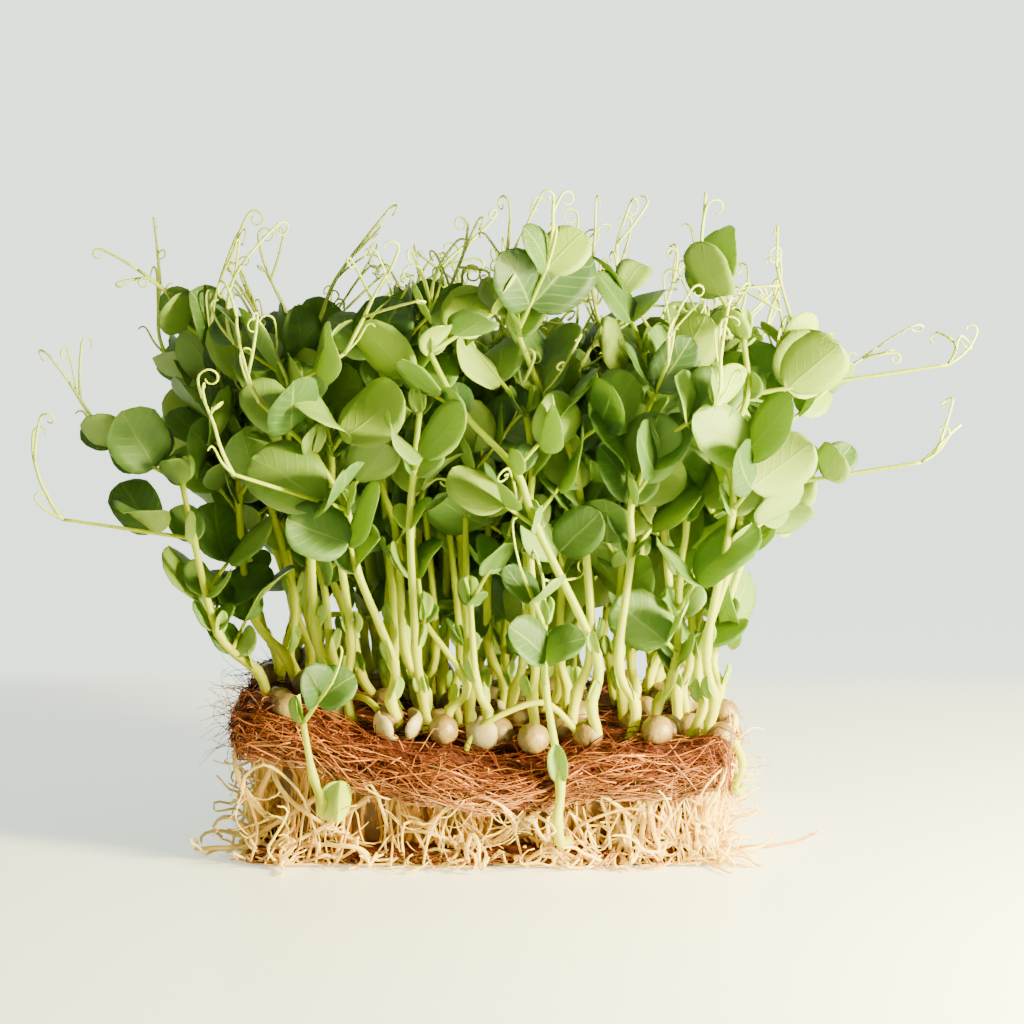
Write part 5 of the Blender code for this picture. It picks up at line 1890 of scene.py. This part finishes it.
class Finish:
    """A node material being wired up."""

    def __init__(self, name, roughness):
        self.material = bpy.data.materials.new(name)
        self.material.use_nodes = True
        self.tree = self.material.node_tree
        self.shader = self.tree.nodes["Principled BSDF"]
        self.output = self.tree.nodes["Material Output"]
        self.shader.inputs["Roughness"].default_value = roughness

    def link(self, source, target):
        self.tree.links.new(source, target)

    def value(self, name):
        return node(self.tree, "ShaderNodeAttribute", attribute_name=name).outputs["Fac"]

    def math(self, operation, first, second=None, clamp=False):
        made = node(self.tree, "ShaderNodeMath", operation=operation, use_clamp=clamp)
        for socket, thing in zip(made.inputs, (first, second)):
            if isinstance(thing, (int, float)):
                socket.default_value = thing
            elif thing is not None:
                self.link(thing, socket)
        return made.outputs[0]

    def times(self, first, second):
        return self.math("MULTIPLY", first, second)

    def ramp(self, fac, *stops):
        made = node(self.tree, "ShaderNodeValToRGB")
        elements = made.color_ramp.elements
        while len(elements) < len(stops):
            elements.new(0.5)
        for element, (place_at, colour) in zip(elements, stops):
            element.position = place_at
            element.color = (*colour, 1.0)
        self.link(fac, made.inputs[0])
        return made.outputs[0]

    def mix(self, fac, first, second):
        made = node(self.tree, "ShaderNodeMix", data_type="RGBA")
        colours = [socket for socket in made.inputs if socket.type == "RGBA"]
        if isinstance(fac, (int, float)):
            made.inputs[0].default_value = fac
        else:
            self.link(fac, made.inputs[0])
        for socket, thing in zip(colours, (first, second)):
            if isinstance(thing, tuple):
                socket.default_value = (*thing, 1.0)
            else:
                self.link(thing, socket)
        return next(out for out in made.outputs if out.type == "RGBA")

    def noise(self, scale, detail=4.0, stretch=(1.0, 1.0, 1.0)):
        made = node(self.tree, "ShaderNodeTexNoise", Scale=scale, Detail=detail)
        places = node(self.tree, "ShaderNodeTexCoord")
        mapping = node(self.tree, "ShaderNodeMapping")
        mapping.inputs["Scale"].default_value = stretch
        self.link(places.outputs["Object"], mapping.inputs["Vector"])
        self.link(mapping.outputs[0], made.inputs["Vector"])
        return made.outputs["Fac"]

    def bump(self, height, strength, distance):
        made = node(self.tree, "ShaderNodeBump", Strength=strength, Distance=distance)
        self.link(height, made.inputs["Height"])
        self.link(made.outputs[0], self.shader.inputs["Normal"])
        return made.outputs[0]

    def colour(self, source):
        self.link(source, self.shader.inputs["Base Color"])

    def glow(self, source, share):
        """Mix in the light that comes through a thin part."""
        through = node(self.tree, "ShaderNodeBsdfTranslucent")
        self.link(source, through.inputs["Color"])
        mixed = node(self.tree, "ShaderNodeMixShader")
        mixed.inputs[0].default_value = share
        self.link(self.shader.outputs[0], mixed.inputs[1])
        self.link(through.outputs[0], mixed.inputs[2])
        self.link(mixed.outputs[0], self.output.inputs["Surface"])


def leaf_finish():
    """Green tops with a pale waxy bloom, paler undersides, and veins that branch from the midrib."""
    made = Finish("pea_leaf", 0.55)
    run, aside, tone, under = (made.value(name) for name in ("run", "aside", "tone", "under"))
    reach = made.math("ABSOLUTE", aside)
    slant = made.math("SUBTRACT", run, made.times(reach, 0.32))
    veins = made.math("MAXIMUM", made.math("SINE", made.times(slant, 42.0)), 0.0)
    veins = made.math("POWER", veins, 9.0)
    midrib = made.math("SUBTRACT", 1.0, made.times(reach, 13.0), clamp=True)
    lines = made.math("MAXIMUM", made.times(veins, 0.45), midrib)
    top = made.ramp(tone, (0.0, LEAF_DEEP), (0.6, LEAF_MIDDLE), (1.0, LEAF_FRESH))
    bloom = made.ramp(made.noise(scale=190.0), (0.4, (0, 0, 0)), (0.7, (0.8, 0.8, 0.8)))
    top = made.mix(made.times(bloom, tone), top, LEAF_BLOOM)
    below = made.ramp(tone, (0.0, LEAF_MIDDLE), (0.5, LEAF_UNDER), (1.0, LEAF_FRESH))
    skin_colour = made.mix(under, top, below)
    made.colour(made.mix(made.times(lines, 0.4), skin_colour, LEAF_VEIN))
    made.shader.inputs["Specular IOR Level"].default_value = 0.4
    sunk, grain = made.times(lines, -1.0), made.times(made.noise(scale=2600.0, detail=2.0), 0.3)
    height = made.math("ADD", sunk, grain)
    made.bump(height, strength=0.45, distance=0.00025)
    made.glow(made.mix(made.times(lines, 0.6), LEAF_GLOW, LEAF_GLOW_VEIN), share=0.3)
    return made.material


def stem_finish():
    """Pale yellow at the foot, then yellow-green, then green, with fine streaks along it."""
    made = Finish("pea_stem", 0.38)
    run, tone = made.value("run"), made.value("tone")
    tint = made.ramp(run, (0.0, STEM_FOOT), (0.28, STEM_MIDDLE), (1.0, STEM_TIP))
    streaks = made.noise(scale=900.0, detail=3.0, stretch=(1.0, 1.0, 0.08))
    tendril = made.value("under")
    streaks = made.times(streaks, made.math("SUBTRACT", 1.0, tendril))
    tint = made.mix(made.times(streaks, 0.35), tint, STEM_STREAK)
    tint = made.mix(made.times(tone, 0.3), tint, STEM_STREAK)
    made.colour(made.mix(made.times(tendril, 0.8), tint, TENDRIL_GREEN))
    made.bump(streaks, strength=0.25, distance=0.0002)
    made.shader.inputs["Specular IOR Level"].default_value = 0.2
    made.glow(made.ramp(run, (0.0, STEM_FOOT), (1.0, LEAF_GLOW)), share=0.38)
    return made.material


def coir_finish():
    """Reddish-brown coconut fibre, each strand of its own tone, darkened as painted shade where it lies deep,
    paler and woollier low down.
    """
    made = Finish("coir_fibre", 0.6)
    tone, under = made.value("tone"), made.value("under")
    tint = made.ramp(tone, (0.0, COIR_DARK), (0.45, COIR_RED), (1.0, COIR_LIGHT))
    tint = made.mix(made.times(made.noise(scale=90.0, detail=3.0), 0.55), tint, COIR_DARK)
    wool = made.times(made.math("POWER", under, 5.0), 0.6)
    patches = made.math("ADD", made.noise(scale=300.0, detail=2.0), 0.3)
    made.colour(made.mix(made.times(wool, patches), tint, COIR_WOOL))
    made.shader.inputs["Specular IOR Level"].default_value = 0.15
    made.bump(made.noise(scale=3500.0, detail=3.0), strength=0.5, distance=0.0003)
    return made.material


def root_finish(name, shade):
    """Moist cream-white roots with warmer ones among them. A share of shade turns them towards a dark
    threaded inside, painted shade for the felt's depths, and lets less light through.
    """
    made = Finish(name, 0.45)
    made.shader.inputs["Specular IOR Level"].default_value = 0.3
    tone = made.value("tone")
    tint = made.ramp(tone, (0.0, ROOT_TAN), (0.4, ROOT_CREAM), (1.0, ROOT_PALE))
    tint = made.mix(made.times(made.noise(scale=140.0, detail=3.0), 0.4), tint, ROOT_TAN)
    threads = made.noise(scale=500.0, detail=3.0, stretch=(1.0, 1.0, 0.12))
    threads = made.ramp(threads, (0.5, (0, 0, 0)), (0.62, (1, 1, 1)))
    # The dark threaded inside is painted shade in the felt's depths.
    inside = made.mix(threads, COIR_DARK, ROOT_TAN)
    made.colour(made.mix(shade, tint, inside))
    made.bump(made.noise(scale=1800.0, detail=3.0), strength=0.3, distance=0.0003)
    made.glow(made.ramp(tone, (0.0, ROOT_TAN), (1.0, ROOT_PALE)), share=0.5 * (1 - shade))
    return made.material


def pea_finish():
    """Creased beige skin with brown stains."""
    made = Finish("soaked_pea", 0.42)
    stains = made.noise(scale=170.0, detail=5.0)
    tint = made.ramp(stains, (0.3, PEA_BROWN), (0.48, PEA_SKIN), (0.75, PEA_PALE))
    made.colour(made.mix(made.times(made.value("tone"), 0.5), tint, PEA_PALE))
    made.bump(made.noise(scale=900.0, detail=5.0), strength=0.5, distance=0.0006)
    return made.material


def skin_finish():
    """Papery white pea skin, yellowish in places."""
    made = Finish("pea_skin", 0.5)
    made.colour(made.mix(made.times(made.noise(scale=400.0), 0.5), SHELL_WHITE, PEA_PALE))
    made.bump(made.noise(scale=1200.0), strength=0.4, distance=0.0004)
    made.glow(made.ramp(made.value("run"), (0.0, PEA_PALE), (1.0, SHELL_WHITE)), share=0.4)
    return made.material


# ---- stage, lights and camera ----


def floor_finish():
    """Near-white and faintly glossy, turning to the wall's grey some way back."""
    made = Finish("stage_floor", FLOOR_ROUGHNESS)
    places = node(made.tree, "ShaderNodeTexCoord")
    split = node(made.tree, "ShaderNodeSeparateXYZ")
    made.link(places.outputs["Object"], split.inputs[0])
    back = made.math("SUBTRACT", split.outputs["Y"], SILL_DEPTH)
    back = made.math("DIVIDE", back, SILL_BLUR, clamp=True)
    made.colour(made.mix(back, FLOOR_WHITE, WALL_GREY))
    roughness = made.math("ADD", made.times(back, WALL_ROUGHNESS - FLOOR_ROUGHNESS), FLOOR_ROUGHNESS)
    made.link(roughness, made.shader.inputs["Roughness"])
    shine = made.times(made.math("SUBTRACT", 1.0, back), 0.5)
    made.link(shine, made.shader.inputs["Specular IOR Level"])
    made.shader.inputs["Emission Color"].default_value = WALL_LIGHT
    glow = made.math("ADD", made.times(back, WALL_BRIGHTNESS - FLOOR_GLOW), FLOOR_GLOW)
    made.link(glow, made.shader.inputs["Emission Strength"])
    return made.material


def wall_finish():
    """Matt and evenly glowing, as a bright wall out of focus is."""
    made = Finish("stage_wall", WALL_ROUGHNESS)
    made.colour(made.mix(made.times(made.noise(scale=1.5, detail=2.0), 0.2), WALL_GREY, (0.0, 0.0, 0.0)))
    made.shader.inputs["Specular IOR Level"].default_value = 0.0
    made.shader.inputs["Emission Color"].default_value = WALL_LIGHT
    made.shader.inputs["Emission Strength"].default_value = WALL_BRIGHTNESS
    return made.material


def make_stage():
    """A pale floor and a pale wall far behind it."""
    wide, back, side = FLOOR_REACH, WALL_DISTANCE, WALL_REACH
    for name, finish, corners in (
        ("floor", floor_finish(), ((-wide, -wide, 0), (wide, -wide, 0), (wide, back, 0), (-wide, back, 0))),
        ("wall", wall_finish(), ((-side, back, 0), (side, back, 0), (side, back, side), (-side, back, side))),
    ):
        mesh = bpy.data.meshes.new(name)
        mesh.from_pydata(corners, [], [(0, 1, 2, 3)])
        mesh.materials.append(finish)
        sheet = bpy.data.objects.new(name, mesh)
        bpy.context.collection.objects.link(sheet)


def aim(thing, target):
    thing.rotation_euler = (Vector(target) - thing.location).to_track_quat("-Z", "Y").to_euler()


def make_lights():
    """Low warm sun and glow from the right, and soft light from the left front and from above."""
    for name, place_at, size, power, colour in LIGHTS:
        data = bpy.data.lights.new(name, "AREA")
        data.size, data.energy, data.color = size, power, colour
        lamp = bpy.data.objects.new(name, data)
        lamp.location = place_at
        bpy.context.collection.objects.link(lamp)
        aim(lamp, CAMERA_TARGET)
    world = bpy.data.worlds.new("soft_room")
    world.use_nodes = True
    world.node_tree.nodes["Background"].inputs[0].default_value = ROOM_COLOUR
    world.node_tree.nodes["Background"].inputs[1].default_value = ROOM_BRIGHTNESS
    bpy.context.scene.world = world


def make_camera():
    data = bpy.data.cameras.new("camera")
    data.lens = CAMERA_LENS
    camera = bpy.data.objects.new("camera", data)
    back = Vector((0, -math.cos(CAMERA_ELEVATION), math.sin(CAMERA_ELEVATION)))
    camera.location = CAMERA_TARGET + back * CAMERA_DISTANCE
    aim(camera, CAMERA_TARGET)
    bpy.context.collection.objects.link(camera)
    bpy.context.scene.camera = camera


def main():
    make_camera()
    make_stage()
    make_lights()
    finishes = {"leaf": leaf_finish(), "stem": stem_finish()}
    planned = [shoot for shoot in plan_shoots() if shoot.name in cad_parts]
    extra = plan_extra_shoots(planned)
    shoot_pieces(planned, extra, finishes)
    pea_pieces([*planned, *extra], {"pea": pea_finish(), "skin": skin_finish()})
    coir_pieces(coir_finish())
    finishes |= {"root": root_finish("pea_root", 0.0), "felt": root_finish("root_felt", FELT_SHADE)}
    root_pieces(finishes)


main()
